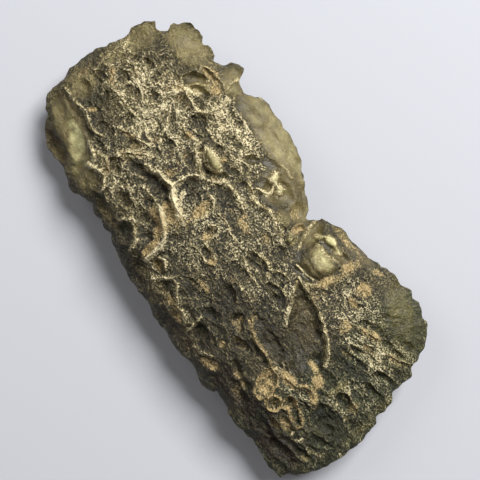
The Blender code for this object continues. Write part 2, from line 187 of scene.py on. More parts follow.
HOLLOWS = (
    # The broken corner beside the notch
    Hollow(5.1, 8.7, 5.6, 2.8, 112, 1.2, Floor.MILKY), Hollow(9.8, 10.4, 3.6, 1.6, 5, 0.8, Floor.MILKY),
    Hollow(8.6, 4.4, 4.8, 0.9, 14, 0.4, Floor.POLISHED), Hollow(1.2, 9, 3, 2, -40, 0.7, Floor.MILKY),
    Hollow(3.3, 7.9, 2.6, 1.3, 70, 1.3, Floor.CLAY),
    # The glassy lobe of the upper edge
    Hollow(-2.4, 8, 5.8, 3.8, 28, 0.9, Floor.MILKY), Hollow(-4.7, 7, 2.6, 1.9, 60, 0.4, Floor.MILKY),
    Hollow(-8.4, 7.6, 2.8, 1.2, 45, 0.6, Floor.POLISHED),
    Hollow(-6.4, 9.4, 3.6, 1.6, 20, 0.4, Floor.MILKY), Hollow(-9, 11.8, 6, 1.8, -6, 0.4, Floor.MILKY),
    Hollow(-14.2, 11.2, 4.6, 2.2, 24, 0.4, Floor.MILKY),
    # Hollows round the three-armed crest
    Hollow(-10.2, -1.9, 2, 3.8, 0, 0.8), Hollow(-13, -2.6, 1.2, 2.2, 0, 0.4, Floor.CLAY),
    Hollow(-9, -6, 3.8, 1.8, -20, 0.4, Floor.CLAY), Hollow(-12.6, -5.8, 3.4, 1.6, 10, 0.5),
    Hollow(-9.2, -9.9, 5.8, 3.2, -20, 0.8), Hollow(-6.5, -2, 4.4, 2.2, -82, 0.5, Floor.CLAY),
    Hollow(-3.1, -3.1, 3, 1.6, -86, 0.45, Floor.CLAY), Hollow(-1.2, -4.9, 3.4, 1, 2, 0.5),
    Hollow(-8.3, -2.2, 1.8, 2.4, 10, 0.5),
    # Hollows of the upper left
    Hollow(-21.3, 7.2, 4.8, 3.2, 25, 0.7, Floor.MILKY), Hollow(-21.6, 9.5, 3.8, 1.1, 8, 0.6, Floor.CLAY),
    Hollow(-20.4, 4.1, 3, 1.8, -8, 0.5), Hollow(-16.9, 4.2, 2.8, 2, -14, 0.6),
    Hollow(-18.9, 6, 2.4, 1.6, 0, 0.6), Hollow(-12, 7, 4.2, 1.6, 12, 0.5),
    Hollow(-14.2, 9, 3.2, 1.4, 20, 0.4), Hollow(-26.8, 5.4, 2, 0.9, 20, 0.5),
    Hollow(-27.7, 3.2, 1.4, 0.8, 0, 0.5), Hollow(-25.2, 3.3, 2, 0.6, 6, 0.5),
    Hollow(-27, 9.4, 4.4, 2.6, 25, 0.4, Floor.MILKY), Hollow(-30.8, 5, 3.2, 2.2, 80, 0.4),
    # Hollows of the left end and the smooth flank below them
    Hollow(-30, -6.4, 3.4, 2.8, 10, 0.5), Hollow(-29.8, -3.8, 2.6, 2.4, 40, 0.6),
    Hollow(-26.7, -4.8, 2.4, 2.8, 0, 0.7), Hollow(-26.8, -6.9, 2.2, 0.8, 55, 0.6, Floor.CLAY),
    Hollow(-28.4, -1, 2.6, 1.8, 20, 0.6), Hollow(-25.4, -1.2, 2.8, 1.8, 0, 0.6),
    Hollow(-23, -6.9, 3, 1.6, 8, 0.6), Hollow(-24.8, -11.2, 6.8, 3.2, -16, 0.6, Floor.MILKY),
    Hollow(-30, -10.8, 4.2, 2.4, -20, 0.5, Floor.MILKY), Hollow(-25.5, -14.3, 6.8, 2.2, -2, 1),
    Hollow(-20.8, -13.2, 2.6, 3.6, 20, 0.5, Floor.MILKY), Hollow(-20.2, -4.9, 3, 1.6, 15, 0.6),
    Hollow(-18.3, -8.8, 2.6, 1.6, -8, 0.7), Hollow(-21.6, -8.8, 2.2, 1.2, -8, 0.5),
    Hollow(-22.4, -3.4, 2.6, 1.4, 12, 0.5), Hollow(-16.4, -1, 2.6, 1.8, 8, 0.5),
    Hollow(-19.4, 1.2, 2.8, 1.8, 8, 0.6), Hollow(-23.6, 1, 2.8, 1.6, 8, 0.5),
    Hollow(-13.6, 0.6, 2.4, 1.8, 20, 0.6),
    # Scallops of the lower edge
    Hollow(-18.4, -12.5, 3, 3, 0, 0.6), Hollow(-14.2, -10.4, 3.4, 2.2, 10, 0.6),
    Hollow(-14.4, -13.4, 4.4, 1.8, 0, 0.5), Hollow(-9.7, -12.6, 3.4, 3.2, -20, 0.6),
    Hollow(-3.4, -11.4, 1.8, 1.4, 20, 0.6), Hollow(-4.4, -13.6, 2.4, 2.4, 0, 0.6),
    Hollow(-1, -12.8, 2.6, 2.6, 40, 0.6), Hollow(2.7, -13, 5.8, 1.8, -6, 0.7, Floor.CLAY),
    Hollow(7.4, -12, 2.6, 2.8, 0, 0.8), Hollow(12, -13.2, 3.8, 2, 28, 0.8, Floor.CLAY),
    Hollow(17.6, -12.2, 4.4, 2.2, -6, 0.7), Hollow(23.2, -12, 5.2, 2, 4, 0.6),
    Hollow(27.4, -12, 2.8, 2.2, 14, 0.6),
    # Facets of the middle
    Hollow(-5.8, 4.4, 3.2, 1.8, 8, 0.45), Hollow(-6.6, 1.8, 3.4, 1.8, 10, 0.5),
    Hollow(-3.2, 3.9, 2.6, 1, 4, 0.3), Hollow(-0.4, 4.4, 2.6, 1.6, 0, 0.35),
    Hollow(1.8, 3, 2.6, 2, 0, 0.5), Hollow(4.6, 3.6, 3.2, 2.4, 10, 0.7),
    Hollow(9.2, -0.4, 3.6, 1.2, 14, 0.5), Hollow(3.4, -2.6, 3.6, 1.6, 8, 0.5),
    Hollow(5.4, -5.6, 3.2, 1.8, -20, 0.6), Hollow(9, -6.6, 2.6, 2, -35, 0.7),
    Hollow(1.2, -9.2, 4.8, 2, -4, 0.6), Hollow(6.6, -9, 3.2, 1.6, 24, 0.6),
    Hollow(12.2, -8.2, 3.6, 1.5, 20, 0.6), Hollow(10.5, -10.2, 1.5, 1.4, -10, 0.4, Floor.CLAY),
    Hollow(14.6, -10.4, 3.4, 1.6, -10, 0.7), Hollow(17, -10.8, 2.6, 1.6, 0, 0.6),
    # Ring-shaped and oval hollows of the lower right
    Hollow(18.6, -8.2, 4.8, 2.4, -62, 0.5, Floor.CLAY), Hollow(21.6, -8.9, 1.9, 1.9, 0, 0.7),
    Hollow(22.9, -7, 2, 1.5, -8, 0.6), Hollow(25.4, -7.4, 2.6, 1, -16, 0.5),
    Hollow(25.6, -9.4, 3.2, 1, -8, 0.5),
    # Hollows of the green end
    Hollow(16.6, 8, 2.8, 1.4, 40, 0.4), Hollow(20.4, 8.4, 4.4, 1.1, 28, 0.6),
    Hollow(20.8, 11.4, 3.8, 0.8, 50, 0.3), Hollow(24.6, 9, 3.4, 0.8, 22, 0.5),
    Hollow(26.2, 11.4, 2.6, 1.2, 38, 0.5), Hollow(22.6, 5, 4.6, 1, 16, 0.5),
    Hollow(28, 6, 3.8, 1.1, 24, 0.6), Hollow(21.6, 3.2, 4.4, 1, 10, 0.5), Hollow(28, 3.4, 4, 1, 14, 0.5),
    Hollow(27.6, -0.7, 3.2, 1.6, -4, 0.7), Hollow(27.4, -4.4, 5.4, 2.8, -8, 0.6),
    Hollow(29.6, -6.9, 3.4, 1.6, 20, 0.4),
)

BASINS = (
    # The long shield-shaped hollow, and the leaf-shaped one below it
    Basin(1, 1.4, ((9, 3.5), (10.5, 3.6), (12.5, 3.4), (15, 3), (17.6, 2.3), (19.4, 1.5), (20.8, 0.4),
                   (21.6, -1), (21, -2.6), (19.4, -3.4), (17.4, -3), (15.6, -2.2), (14, -1.5),
                   (12.6, -0.5), (11.5, 0.9), (10.3, 2.2))),
    Basin(0.5, 1.3, ((9.6, -4.3), (11, -3.7), (13.4, -3.5), (15.8, -3.6), (17.8, -4.1), (17.2, -5.2),
                     (14.8, -5.7), (12, -5.5), (10.4, -5.1))),
    # The swollen shell of the broken corner stands up instead
    Basin(-1.1, 1.7, ((6.3, 5.9), (6.4, 7.6), (6.9, 8.6), (8.4, 9), (10.2, 9.5), (11.1, 9.2), (11.2, 7.4),
                      (10.9, 6), (9.8, 5.2), (7.6, 4.9))),
)

CRESTS = (
    # The three-armed crest
    Crest(1.6, 0.9, 1.1, ((-15.8, -5), (-14.4, -4.4), (-12.9, -3.9), (-11.2, -3.7))),
    Crest(1.1, 0.8, 1.5, ((-11.2, -3.8), (-11.4, -2.6), (-11.3, -1.2), (-10.9, -0.3), (-10.4, 0.2))),
    Crest(1.9, 0.8, 1.5, ((-11.2, -3.8), (-10.4, -4.3), (-9.2, -4.6), (-8, -4.9), (-6.5, -5.3))),
    Crest(1.1, 0.5, 1.5, ((-9.8, -2.8), (-9.1, -3.6), (-8.3, -4.7))),
    Crest(1, 0.3, 0.8, ((-13.4, -7), (-11.4, -6.7), (-9.8, -6.8))),
    Crest(1.5, 0.9, 1.5, ((-9.8, -6.8), (-8.4, -7.3), (-7, -7.9), (-5.8, -8.9))),
    Crest(1.6, 0.9, 1.5, ((-5.8, -8.9), (-5.3, -10), (-5.1, -11.2), (-5.1, -12.4))),
    # The rim of the shield-shaped hollow
    Crest(1, 0.4, 0.4, ((8.8, 3.8), (11, 3.8), (14, 3.5), (16.4, 3))),
    Crest(1.1, 0.5, 0.9, ((16.4, 3), (18.4, 2.2), (20.2, 1.2), (21.2, 0))),
    Crest(1, 0.3, 0.3, ((9.4, 3.2), (10.3, 2), (11.4, 0.8))),
    Crest(0.9, 0.4, 1, ((11.4, 0.8), (12.2, -0.4), (13.5, -1.4))),
    Crest(1.2, 0.4, 0.5, ((17.6, -5.9), (19.6, -5.4), (21.4, -4.9), (21.9, -3.8), (23.4, -3.4),
                          (24.8, -4.2)), 0.7),
    Crest(1, 0.4, 0.25, ((9.8, -4.5), (10.8, -5.4), (12.8, -6), (15.2, -5.9), (17.6, -6.3)), 0.5),
    # The swollen shell and the flake of the broken corner
    Crest(1.5, 0.9, 0.3, ((5.5, 9.2), (6.1, 9.6), (6.6, 10.5), (7.4, 10.9), (8.4, 10.5), (9.4, 10.5))),
    # The cream along the shell's top edge is a painted highlight
    Crest(0.9, 0.3, 0.35, ((6.5, 8.5), (7.4, 8.9), (8.3, 8.8), (9.4, 9.3), (10.8, 9.5))),
    Crest(0.9, 0.4, 0.5, ((3.6, 10.6), (4.2, 9), (4.8, 7.4), (5.6, 6.1))),
    Crest(1.6, 0.5, 0.4, ((10.4, 4.2), (11.9, 6), (12.4, 8), (12.2, 10.4))),
    Crest(0.6, 0.2, 0.9, ((7.3, 4.6), (8.8, 4.8), (10.2, 5.4))),
    # The curled flake of the glassy lobe
    Crest(1.8, 0.9, 0.9, ((-4.8, 9.2), (-4.3, 8.3), (-3.4, 8.5))),
    Crest(1.5, 0.8, 0.9, ((-3.4, 8.5), (-2.6, 8.8), (-2.4, 8.2))),
    Crest(0.9, 0.7, 0.9, ((-3.6, 8.1), (-3, 7.3), (-3.2, 6.6), (-4.2, 6.2), (-4.7, 5.5))),
    Crest(0.8, 0.3, 0.4, ((-5.2, 10.7), (-4.4, 11), (-3.3, 10.9))),
    Crest(1.6, 0.4, 0.6, ((-6, 5.4), (-4.6, 5), (-3.4, 4.6), (-1.4, 5.5), (-0.2, 5.7), (2.6, 5.3))),
    # The blade between two grooves
    Crest(0.8, 0.3, 0.9, ((-13.2, 2.9), (-12.4, 2.3), (-11, 2), (-10, 2.3), (-9.2, 3))),
    Crest(1, 0.3, 0.7, ((-13.3, 3.3), (-12.2, 3.8), (-10.4, 3.7), (-9.2, 3.2))),
    Crest(1.6, 0.6, 0.8, ((-14.6, 2.9), (-13.6, 1.8), (-12.2, 1.2), (-10.8, 0.6), (-10, 0.5), (-8.8, 1.2),
                          (-7.9, 2.8), (-6, 3.1), (-3.6, 2.9))),
    # The crests of the upper left
    Crest(2, 0.7, 0.8, ((-22.4, 3), (-22.2, 4.4), (-21.4, 5.6), (-20.4, 6.7))),
    Crest(1.8, 0.6, 0.8, ((-22.8, 4.9), (-21.6, 5.3), (-19.8, 5), (-18, 5), (-17.2, 6.2), (-16.6, 7.8),
                          (-17.2, 9.6))),
    Crest(1, 0.4, 0.5, ((-23.6, 6), (-23.2, 8), (-21.6, 8.9), (-19.8, 8.4), (-18.6, 7.4))),
    Crest(0.9, 0.6, 0.3, ((-22, 6), (-21.7, 7.2), (-20.8, 8), (-19.2, 7.8))),
    Crest(0.7, 0.3, 0.7, ((-23.3, 9), (-22.6, 9.9), (-21.4, 10.3), (-19.2, 10.2))),
    Crest(0.7, 0.3, 0.4, ((-18.8, 13), (-19, 11.4), (-18.5, 9.8), (-17.9, 8.2))),
    Crest(1.2, 0.5, 0.7, ((-18, 2.4), (-16.8, 2), (-15.6, 2.2), (-14.6, 2.8))),
    Crest(1.2, 0.4, 0.6, ((-29.4, 0.6), (-28.6, 1.4), (-27.6, 1), (-26.4, 1.6), (-25.2, 0.8))),
    # The tan crests of the left end
    Crest(1.4, 0.5, 0.6, ((-30.2, -1.2), (-28.8, -2), (-27.8, -3), (-26.2, -2.7), (-24.2, -2.8),
                          (-22.4, -2.4))),
    Crest(1.2, 0.4, 0.7, ((-22.4, -5.2), (-20.6, -4.6), (-19.2, -3.9), (-17.8, -3.2))),
    Crest(2, 0.7, 0.8, ((-19.4, -7.2), (-18.6, -6), (-17.6, -4.8), (-16.6, -3.9))),
    # Crests above the smooth flank and over the scallops of the lower edge
    Crest(1.1, 0.6, 0.65, ((-31.6, -8.5), (-29.2, -8.5), (-27.2, -7.9), (-24.4, -8.5), (-22.6, -7.9))),
    Crest(1, 0.8, 1, ((-23.3, -9.9), (-22, -10.1), (-20.6, -10.6))),
    Crest(1.3, 0.5, 0.6, ((-21.4, -9.8), (-19.8, -9.2), (-18.8, -9.8))),
    Crest(1.3, 0.6, 0.8, ((-20.8, -11.8), (-19.2, -11), (-18, -10.7), (-17.2, -11.2), (-16.5, -12.2))),
    Crest(1.3, 0.6, 0.7, ((-11.6, -12), (-10.8, -10.7), (-9.9, -10.9), (-9, -11.8), (-7.8, -12.2),
                          (-7.4, -13.4))),
    Crest(0.9, 0.5, 0.9, ((-4.1, -10.8), (-3.3, -10.2), (-2.6, -10.9))),
    Crest(1.2, 0.6, 0.8, ((-2.5, -13.4), (-1.6, -12), (-0.9, -10.9), (0.2, -10.7), (1.4, -11.6),
                          (2.8, -12.5), (4.6, -12.4), (5.5, -13))),
    Crest(0.9, 0.5, 0.7, ((5.9, -10.6), (6.2, -11.8), (6.4, -13))),
    Crest(1, 0.4, 0.6, ((8.6, -13.8), (10, -13.4), (11.2, -12.4))),
    # The rims of the oval and ring-shaped hollows
    Crest(0.8, 0.3, 0.4, ((17, -7.6), (17.2, -6.4), (18.4, -6.1), (19.5, -7), (20.2, -8.8), (20, -10.2),
                          (18.9, -10.4), (17.8, -9.2), (17, -7.6)), 0.8),
    Crest(0.7, 0.35, 0.3, ((20.7, -8.3), (21.4, -7.8), (22.3, -8.1), (22.7, -8.9), (22.2, -9.8),
                           (21.3, -10), (20.7, -9.4), (20.7, -8.3)), 1),
    Crest(0.7, 0.3, 0.3, ((22, -7.8), (22, -6.4), (22.8, -6), (23.6, -6.6), (24.4, -6.4), (26, -6.9),
                          (26.6, -7.6), (26.2, -8.3), (24.6, -8), (23.4, -7.6), (22.6, -8.2), (22, -7.8)),
                          1),
    Crest(0.7, 0.3, 0.9, ((26.5, -8.8), (26.8, -9.4), (27.4, -9.6), (28, -9.2), (28.1, -8.5))),
    Crest(0.9, 0.2, 0.6, ((29.6, -8.8), (31, -8.2), (32, -7.2))),
    Crest(0.7, 0.3, 1, ((-7.4, -0.2), (-6.7, 0.2), (-5.9, -0.4), (-5.4, -2), (-5.6, -4))),
    Crest(0.7, 0.3, 1, ((-3.9, -2.2), (-3.2, -1.6), (-2.4, -2.2), (-2.2, -4.3))),
    Crest(0.7, 0.3, 1, ((-8, -5.4), (-7.2, -5.9), (-7.2, -6.7), (-7.9, -7), (-9.4, -6.6))),
    Crest(0.8, 0.3, 0.6, ((-3.6, -5.8), (-1.6, -5.7), (0.4, -5.6), (0.9, -4.8))),
    Crest(0.8, 0.3, 0.5, ((-2.6, -4.3), (-1, -4.3), (0.4, -4.2))),
    # Thin lips over the grooves of the middle
    Crest(0.7, 0.35, 0.8, ((2, 0.2), (3.2, 0.9), (4.6, 1.3), (5.6, 1), (6.5, 0.3))),
    Crest(0.6, 0.3, 0.7, ((3, 1.2), (4.8, 1.8), (6.2, 1.4))),
    Crest(0.7, 0.35, 0.8, ((6.4, 1.8), (7.6, 2.4), (8.7, 2.6))),
    Crest(0.6, 0.3, 0.7, ((7.4, 0.4), (8.8, 1), (10, 0.9))),
    Crest(0.6, 0.3, 0.7, ((1, -1.4), (2.6, -1), (4.4, -1.6), (6.4, -1.4))),
    Crest(0.6, 0.3, 0.6, ((5.2, -3.6), (6.8, -3.2), (8.6, -3.8))),
    Crest(0.6, 0.3, 0.7, ((-4.6, -0.4), (-3, -0.2), (-1.2, -0.6), (0.4, -0.4))),
    # The pale ridge of the green end
    Crest(1.6, 0.5, 0.3, ((25, 0.9), (25.3, -0.6), (25, -1.6))),
    Crest(0.9, 0.3, 0.7, ((26.2, 0.6), (27.4, 0.4), (29, 0.3))),
    Crest(0.9, 0.3, 0.6, ((26.6, -1.6), (27.6, -2.1), (29.4, -1.8))),
    Crest(1.2, 0.4, 0.5, ((19, 6.6), (20.6, 7.4), (22.6, 8.6))),
    Crest(1, 0.4, 0.5, ((24.4, 8), (26.4, 9), (28, 10))),
)

# Rounded lumps that stand up. The last value of each is its height in millimetres
DOMES = (
    Patch(7.4, 10.5, 2.4, 1.5, 15, 1), Patch(6, 9.5, 1.6, 1.1, 55, 0.8), Patch(9, 10.3, 2, 0.9, -8, 0.6),
    Patch(-4.4, 8.9, 1.8, 1.1, -45, 0.7), Patch(-2.8, 8.6, 1.4, 1, 0, 0.6),
    Patch(-11.2, 3.1, 4.4, 1.8, -4, 0.8), Patch(1, 6.5, 3.4, 2.4, 0, 0.8),
    Patch(3.9, 6.1, 2, 2.4, 0, 0.7), Patch(-18.3, -6, 1.4, 1.8, 0, 0.4),
    Patch(27.2, -8.7, 1.5, 1.5, 0, 0.5), Patch(25.2, 0, 1.6, 2.2, 0, 0.5),
    Patch(-19.4, 6.2, 3, 1.4, 10, 0.5),
)

# The etched pits: rounder at the left end, long and low towards the right, drawn into rays where the glass
# fans out, with broad ones over the right end and fine ones over everything
ROUND_PITS = Pits((1.7, 1.15, 1.15), 0.44)
LONG_PITS = Pits((2.7, 0.85, 0.95), 0.26, 90.0)
RAY_PITS = Pits((1.0, 1.0, 1.0), 0.34, 30.0)
BROAD_PITS = Pits((4.0, 1.7, 1.7), 0.5, 60.0)
FINE_PITS = Pits((0.95, 0.5, 0.5), 0.14, 40.0)

GROOVES = (
    Groove(0.5, 0.1, ((6.4, 6.9), (8.8, 7.2), (11, 7.4))),
    Groove(0.5, 0.15, ((6.4, 6), (8.8, 6.2), (10.8, 6.5))),
    Groove(0.6, 0.3, ((7.2, 4.8), (8.8, 5), (10.4, 5.6))),
    Groove(1.3, 0.9, ((-13.4, 2.3), (-12.2, 1.7), (-10.8, 1.3), (-9.8, 1.7), (-8.4, 2.9))),
    Groove(0.8, 0.5, ((-14.2, 4.3), (-12.2, 4.6), (-10.4, 4.9))),
    Groove(0.9, 0.6, ((-9.9, 4.2), (-8.8, 4.4), (-7.9, 4.8))),
    Groove(1.4, 1, ((-15.8, -6), (-14.2, -5.4), (-12.6, -4.8), (-11.2, -4.6))),
    Groove(0.8, 0.3, ((-10.8, -5.3), (-9.4, -5.5), (-7.6, -5.7))),
    Groove(2, 0.25, ((-11.4, -7.6), (-9.6, -7.8), (-7.8, -8.6), (-6.6, -9.6), (-6.1, -11.2),
                     (-5.8, -12.4))),
    Groove(1, 0.6, ((24, -10.6), (26.6, -10.6), (29, -10), (31, -9.4))),
    Groove(0.7, 0.5, ((2.2, 0), (3.4, 0.5), (4.8, 0.9), (5.6, 0.5), (6.6, 0.9))),
    Groove(0.7, 0.4, ((2.6, -0.7), (3.8, -0.1), (5, 0.2), (6.4, -0.3))),
    Groove(0.8, 0.5, ((6.2, 1.4), (7.2, 2), (8.6, 2.2))),
    Groove(0.9, 0.6, ((7.4, -0.2), (8.8, 0.6), (10.2, 0.5))),
    Groove(1, 0.7, ((-23.2, 6.4), (-22.8, 7.7), (-21.8, 8.4))),
    Groove(1, 0.7, ((-21.5, 6.2), (-20.9, 7.1), (-19.3, 7.3))),
    Groove(0.7, 0.4, ((-4.4, 5.9), (-3.2, 5.8), (-1.2, 6))),
    Groove(0.8, 0.2, ((12.4, -6.9), (14.6, -6.5), (16.6, -6.7))),
    Groove(0.8, 0.25, ((10, -3.9), (12.6, -3.8), (16.4, -3.9))),
    Groove(1.2, 0.25, ((-31.6, -9.3), (-28.8, -9.3), (-26, -9), (-23.8, -9.4))),
)

# Where the skin is smooth rather than etched
SMOOTH = (
    Patch(-9, 12.2, 22, 4.6, -3, 0.85), Patch(-2.6, 8.6, 7, 5.6, 20, 0.9),
    Patch(0.6, 9.6, 6.4, 5, -30, 0.8), Patch(8.4, 7, 6.6, 5.4, 10, 0.65),
    Patch(7.4, 10.2, 4.4, 2.6, 10, 0.9), Patch(-3.8, 8.6, 3.4, 2, 0, 0.9),
    Patch(-20, -13.2, 4.6, 4, 0, 0.55), Patch(5, 8.8, 3, 5.6, 20, 0.9), Patch(10, 12.8, 10, 2.4, 8, 0.5),
    Patch(21.8, 13.2, 10, 5.6, -10, 0.6), Patch(-25.8, -11.2, 12, 4.6, -7, 0.75),
    Patch(-25.6, -14.4, 8, 3.4, 0, 0.4), Patch(-27, 9.4, 8.6, 4.6, 8, 0.5),
    Patch(-19.6, 12, 4.6, 4, 0, 0.7), Patch(-31.6, 5, 3.6, 5, 0, 0.35),
    Patch(-30.4, -6.6, 4.6, 4, 0, 0.35), Patch(-11.2, 3.1, 4.6, 1.8, -4, 0.8),
    Patch(18.4, -2.8, 4, 3.4, 0, 0.7),
)

# Where the glass is thin, and looks pale and cloudy. In the window of the lower left flank this pale is
# painted light shining through
MILKY = (
    # The flange and the glassy lobe
    Patch(-9, 12.2, 26, 6, -3, 0.62), Patch(-3, 9.4, 8, 5.6, 20, 0.5),
    Patch(-2.8, 7.6, 6.4, 4.2, 20, 0.46), Patch(1.4, 9.2, 5, 4.6, -20, 0.56),
    Patch(0.9, 6.7, 3.6, 2.8, 0, 0.62), Patch(4, 6.2, 2.4, 2.6, 0, 0.6),
    # The broken corner and its shell
    Patch(5, 8.8, 3.4, 5.8, 20, 0.5), Patch(8.8, 7.9, 5.6, 3.4, 8, 0.78),
    Patch(8.8, 6.2, 5.2, 3.6, 6, 0.5), Patch(7.2, 10.5, 2.6, 1.5, 15, 0.95),
    Patch(5.9, 9.5, 1.6, 1.1, 50, 0.9), Patch(9, 10.4, 2, 0.9, 0, 0.85),
    Patch(9.6, 10.4, 4.6, 2.6, 5, 0.42), Patch(10, 12.8, 10, 2.6, 8, 0.5),
    Patch(-4.4, 8.9, 2, 1.3, -45, 0.9), Patch(-2.8, 8.6, 1.6, 1.2, 0, 0.9),
    Patch(-11.3, 3.2, 4.8, 2, -4, 0.74),
    # The green end
    Patch(21.4, 13, 13, 5.4, -20, 0.4), Patch(24, 9, 12, 9, -40, 0.27), Patch(31.4, 2, 2.4, 14, 10, 0.3),
    Patch(25.1, 0, 1.8, 2.6, 0, 0.55), Patch(19.4, 1.6, 3.6, 1.2, -30, 0.75),
    Patch(14.4, 1, 10, 4.4, -20, 0.34),
    # The smooth flank of the lower left, its window, painted pale for the light that shines through the thin
    # glass there, and the rim below it
    Patch(-25, -11, 7.6, 3.4, -14, 0.86), Patch(-23.2, -12.4, 7, 3.6, -45, 0.76),
    Patch(-21.6, -13, 3, 5, 8, 0.72), Patch(-27, -10.8, 15, 6, -7, 0.54),
    Patch(-25.6, -14.4, 10, 3, 0, 0.5), Patch(-19.4, -13.2, 6.4, 4.6, 0, 0.62),
    Patch(-13.6, -13.4, 6, 2.6, 0, 0.45), Patch(0, -13.6, 22, 3.6, 0, 0.32),
    # The thin left end
    Patch(-26.6, 9.2, 12, 6.6, 10, 0.54), Patch(-21.4, 7.4, 5, 3.4, 20, 0.42),
    Patch(-31.6, 3, 5, 14, 0, 0.55), Patch(-31, -6, 6, 8, 0, 0.5), Patch(-18.6, 11.6, 6, 5, 0, 0.55),
    Patch(-18.6, -6.4, 2.2, 3, 0, 0.55), Patch(-9.4, 7.6, 4, 2.4, 40, 0.42),
    Patch(-5.9, -6.4, 3, 1.4, -20, 0.42), Patch(-24, 0, 20, 18, 0, 0.28), Patch(-12, 6.6, 18, 8, 0, 0.3),
    Patch(-16, -10.4, 18, 6, 0, 0.28),
)

# Where the frost on the crests is thick
CREAMY = (
    Patch(-22, 0, 22, 13, 0, 1), Patch(-12, 7.6, 18, 7.8, 0, 1), Patch(-22, 4, 10, 5, 0, 0.9),
    Patch(-1, 3.6, 18, 6, 0, 0.85), Patch(-8, -3, 16, 8, 0, 0.8), Patch(-14, -9, 26, 7, 0, 0.65),
    Patch(17, 8, 12, 10, 30, 0.8), Patch(23, 6, 10, 5, 30, 0.8), Patch(28, 3, 8, 10, 0, 0.25),
    Patch(8, 2.5, 10, 5, 0, 0.6), Patch(0, -6, 16, 8, 0, 0.5), Patch(4, -1, 14, 6, 0, 0.6),
    Patch(14.6, 1.2, 9.6, 4.4, -16, 0.6), Patch(20, -5, 10, 3.4, 0, 0.7), Patch(0, -13, 18, 4, 0, 0.7),
)

# Where tan clay lies
CLAY_PATCHES = (
    Patch(15.6, 10.4, 2.6, 2.6, 20, 0.8), Patch(16.2, 8.2, 2.6, 1.2, 10, 0.8),
    Patch(14.6, 13.4, 2.8, 0.9, 35, 0.6), Patch(21.4, 7.8, 4.4, 1.4, 26, 0.8),
    Patch(22.8, 6.4, 2.8, 0.9, 10, 0.7), Patch(18.2, 5.4, 2.2, 2.6, 10, 0.6),
    Patch(26.6, 8.8, 3.4, 1.2, 22, 0.5), Patch(11.6, 6.8, 1.5, 4.6, -12, 0.9),
    Patch(11.8, 10.8, 1.7, 4.6, -8, 0.7), Patch(8.6, 12.4, 6.4, 1.3, 8, 0.55),
    Patch(22.2, -2, 3, 2, -20, 1.1), Patch(20.6, -1.4, 3, 1.1, 0, 0.9), Patch(23.8, -3.7, 4, 1.5, -22, 1),
    Patch(20, -5.2, 4.4, 1.7, 8, 0.95), Patch(18.6, -8.2, 4.6, 2.4, -62, 0.8),
    Patch(22.9, -7, 1.8, 1.4, 0, 0.35), Patch(21.6, -8.9, 1.4, 1.4, 0, 0.4),
    Patch(-1.3, 1.5, 3.4, 1.4, 0, 0.8), Patch(-2.4, 2.4, 1.4, 0.9, 0, 0.6),
    Patch(-10.6, 4.4, 1.2, 1.1, 0, 0.9), Patch(0.4, -4.9, 1.4, 1.6, 20, 0.8),
    Patch(2.4, -7.7, 3.2, 1, 4, 0.6), Patch(4, -4, 1.6, 1, 0, 0.5),
    Patch(-29.6, -1.6, 1.5, 1.1, -20, 0.9), Patch(-28.5, -2.5, 1.4, 1.2, -40, 0.9),
    Patch(-32, -5, 1.6, 2.2, 0, 0.5), Patch(-27.5, 0.8, 1.8, 1, 0, 0.6),
    Patch(-16, 2.4, 1.4, 1.6, -40, 0.7), Patch(-20.6, -4.6, 2.4, 0.9, 20, 0.7),
    Patch(-18.2, -2, 2, 1.2, 0, 0.5), Patch(-19.4, 9, 2.4, 1.8, -30, 0.7),
    Patch(-21.8, 9.4, 3, 0.8, 8, 0.7), Patch(1.2, 8.6, 2.6, 2, -30, 0.4),
    Patch(3.2, 7.6, 1.4, 2.4, 0, 0.9), Patch(-9.8, -7.8, 3.6, 1.3, -6, 1),
    Patch(-7.4, -8.7, 3, 1.5, -38, 1), Patch(-6.1, -11, 3.8, 1.3, -78, 1),
    Patch(-29, -9.2, 6, 0.8, 0, 0.3),
)

# Where the frost is left off, so that the glass shows dark: partly frost worn off, partly painted shade
BARE = (
    Patch(28.8, -4.2, 7, 5, 0, 0.7), Patch(23.4, 2.9, 9, 2, 8, 0.6), Patch(29.4, 1.6, 5, 8, 0, 0.4),
    Patch(14, -4.4, 8.4, 2.6, 0, 0.6), Patch(24, 13.2, 8, 4.6, -10, 0.5), Patch(5.6, -6, 6, 3, -20, 0.4),
    Patch(-29.6, -9.6, 8, 2.4, 0, 0.6), Patch(-9.9, -1.9, 1.9, 3.6, 0, 0.6),
)

# Where the glass is stained brown. Along the lower edge and over the lower right, which face away from the
# key light, the brown to nearly black is partly stain and partly painted shade
STAIN_AND_SHADE = (
    Patch(24, -12, 20, 5.4, 2, 1), Patch(26, -8.4, 13, 4, 0, 0.6), Patch(14, -12.6, 14, 4.4, 2, 0.9),
    Patch(4, -14, 14, 3, 0, 0.9), Patch(-6, -14.4, 10, 2.4, 0, 0.7), Patch(-13.6, -13.4, 6, 2.4, 0, 0.6),
    Patch(-25.6, -14.2, 9, 2.8, 0, 0.7), Patch(-19.4, -13.4, 6, 3.6, 0, 0.3),
    Patch(-29, -9.4, 8, 1.8, 2, 0.5), Patch(14.6, 1.2, 9, 4.2, -16, 0.6),
    Patch(5.4, -5.4, 13, 6, -6, 0.4), Patch(17, -4, 16, 4, -4, 0.25), Patch(5, 8.8, 3.4, 5.8, 20, 0.35),
    Patch(10.6, 10.6, 3, 2.4, 5, 0.4), Patch(9, 12.4, 10, 2, 8, 0.3), Patch(1.2, 9, 3.6, 3, -30, 0.4),
    Patch(-4, 10.4, 9, 4, 0, 0.3), Patch(-12, 12.2, 12, 3, 0, 0.2),
)


def smooth_step(low: float, high: float, value: Array) -> Array:
    """Goes evenly from 0 at low to 1 at high."""
    share = np.clip((value - low) / (high - low), 0.0, 1.0)
    return share * share * (3.0 - 2.0 * share)


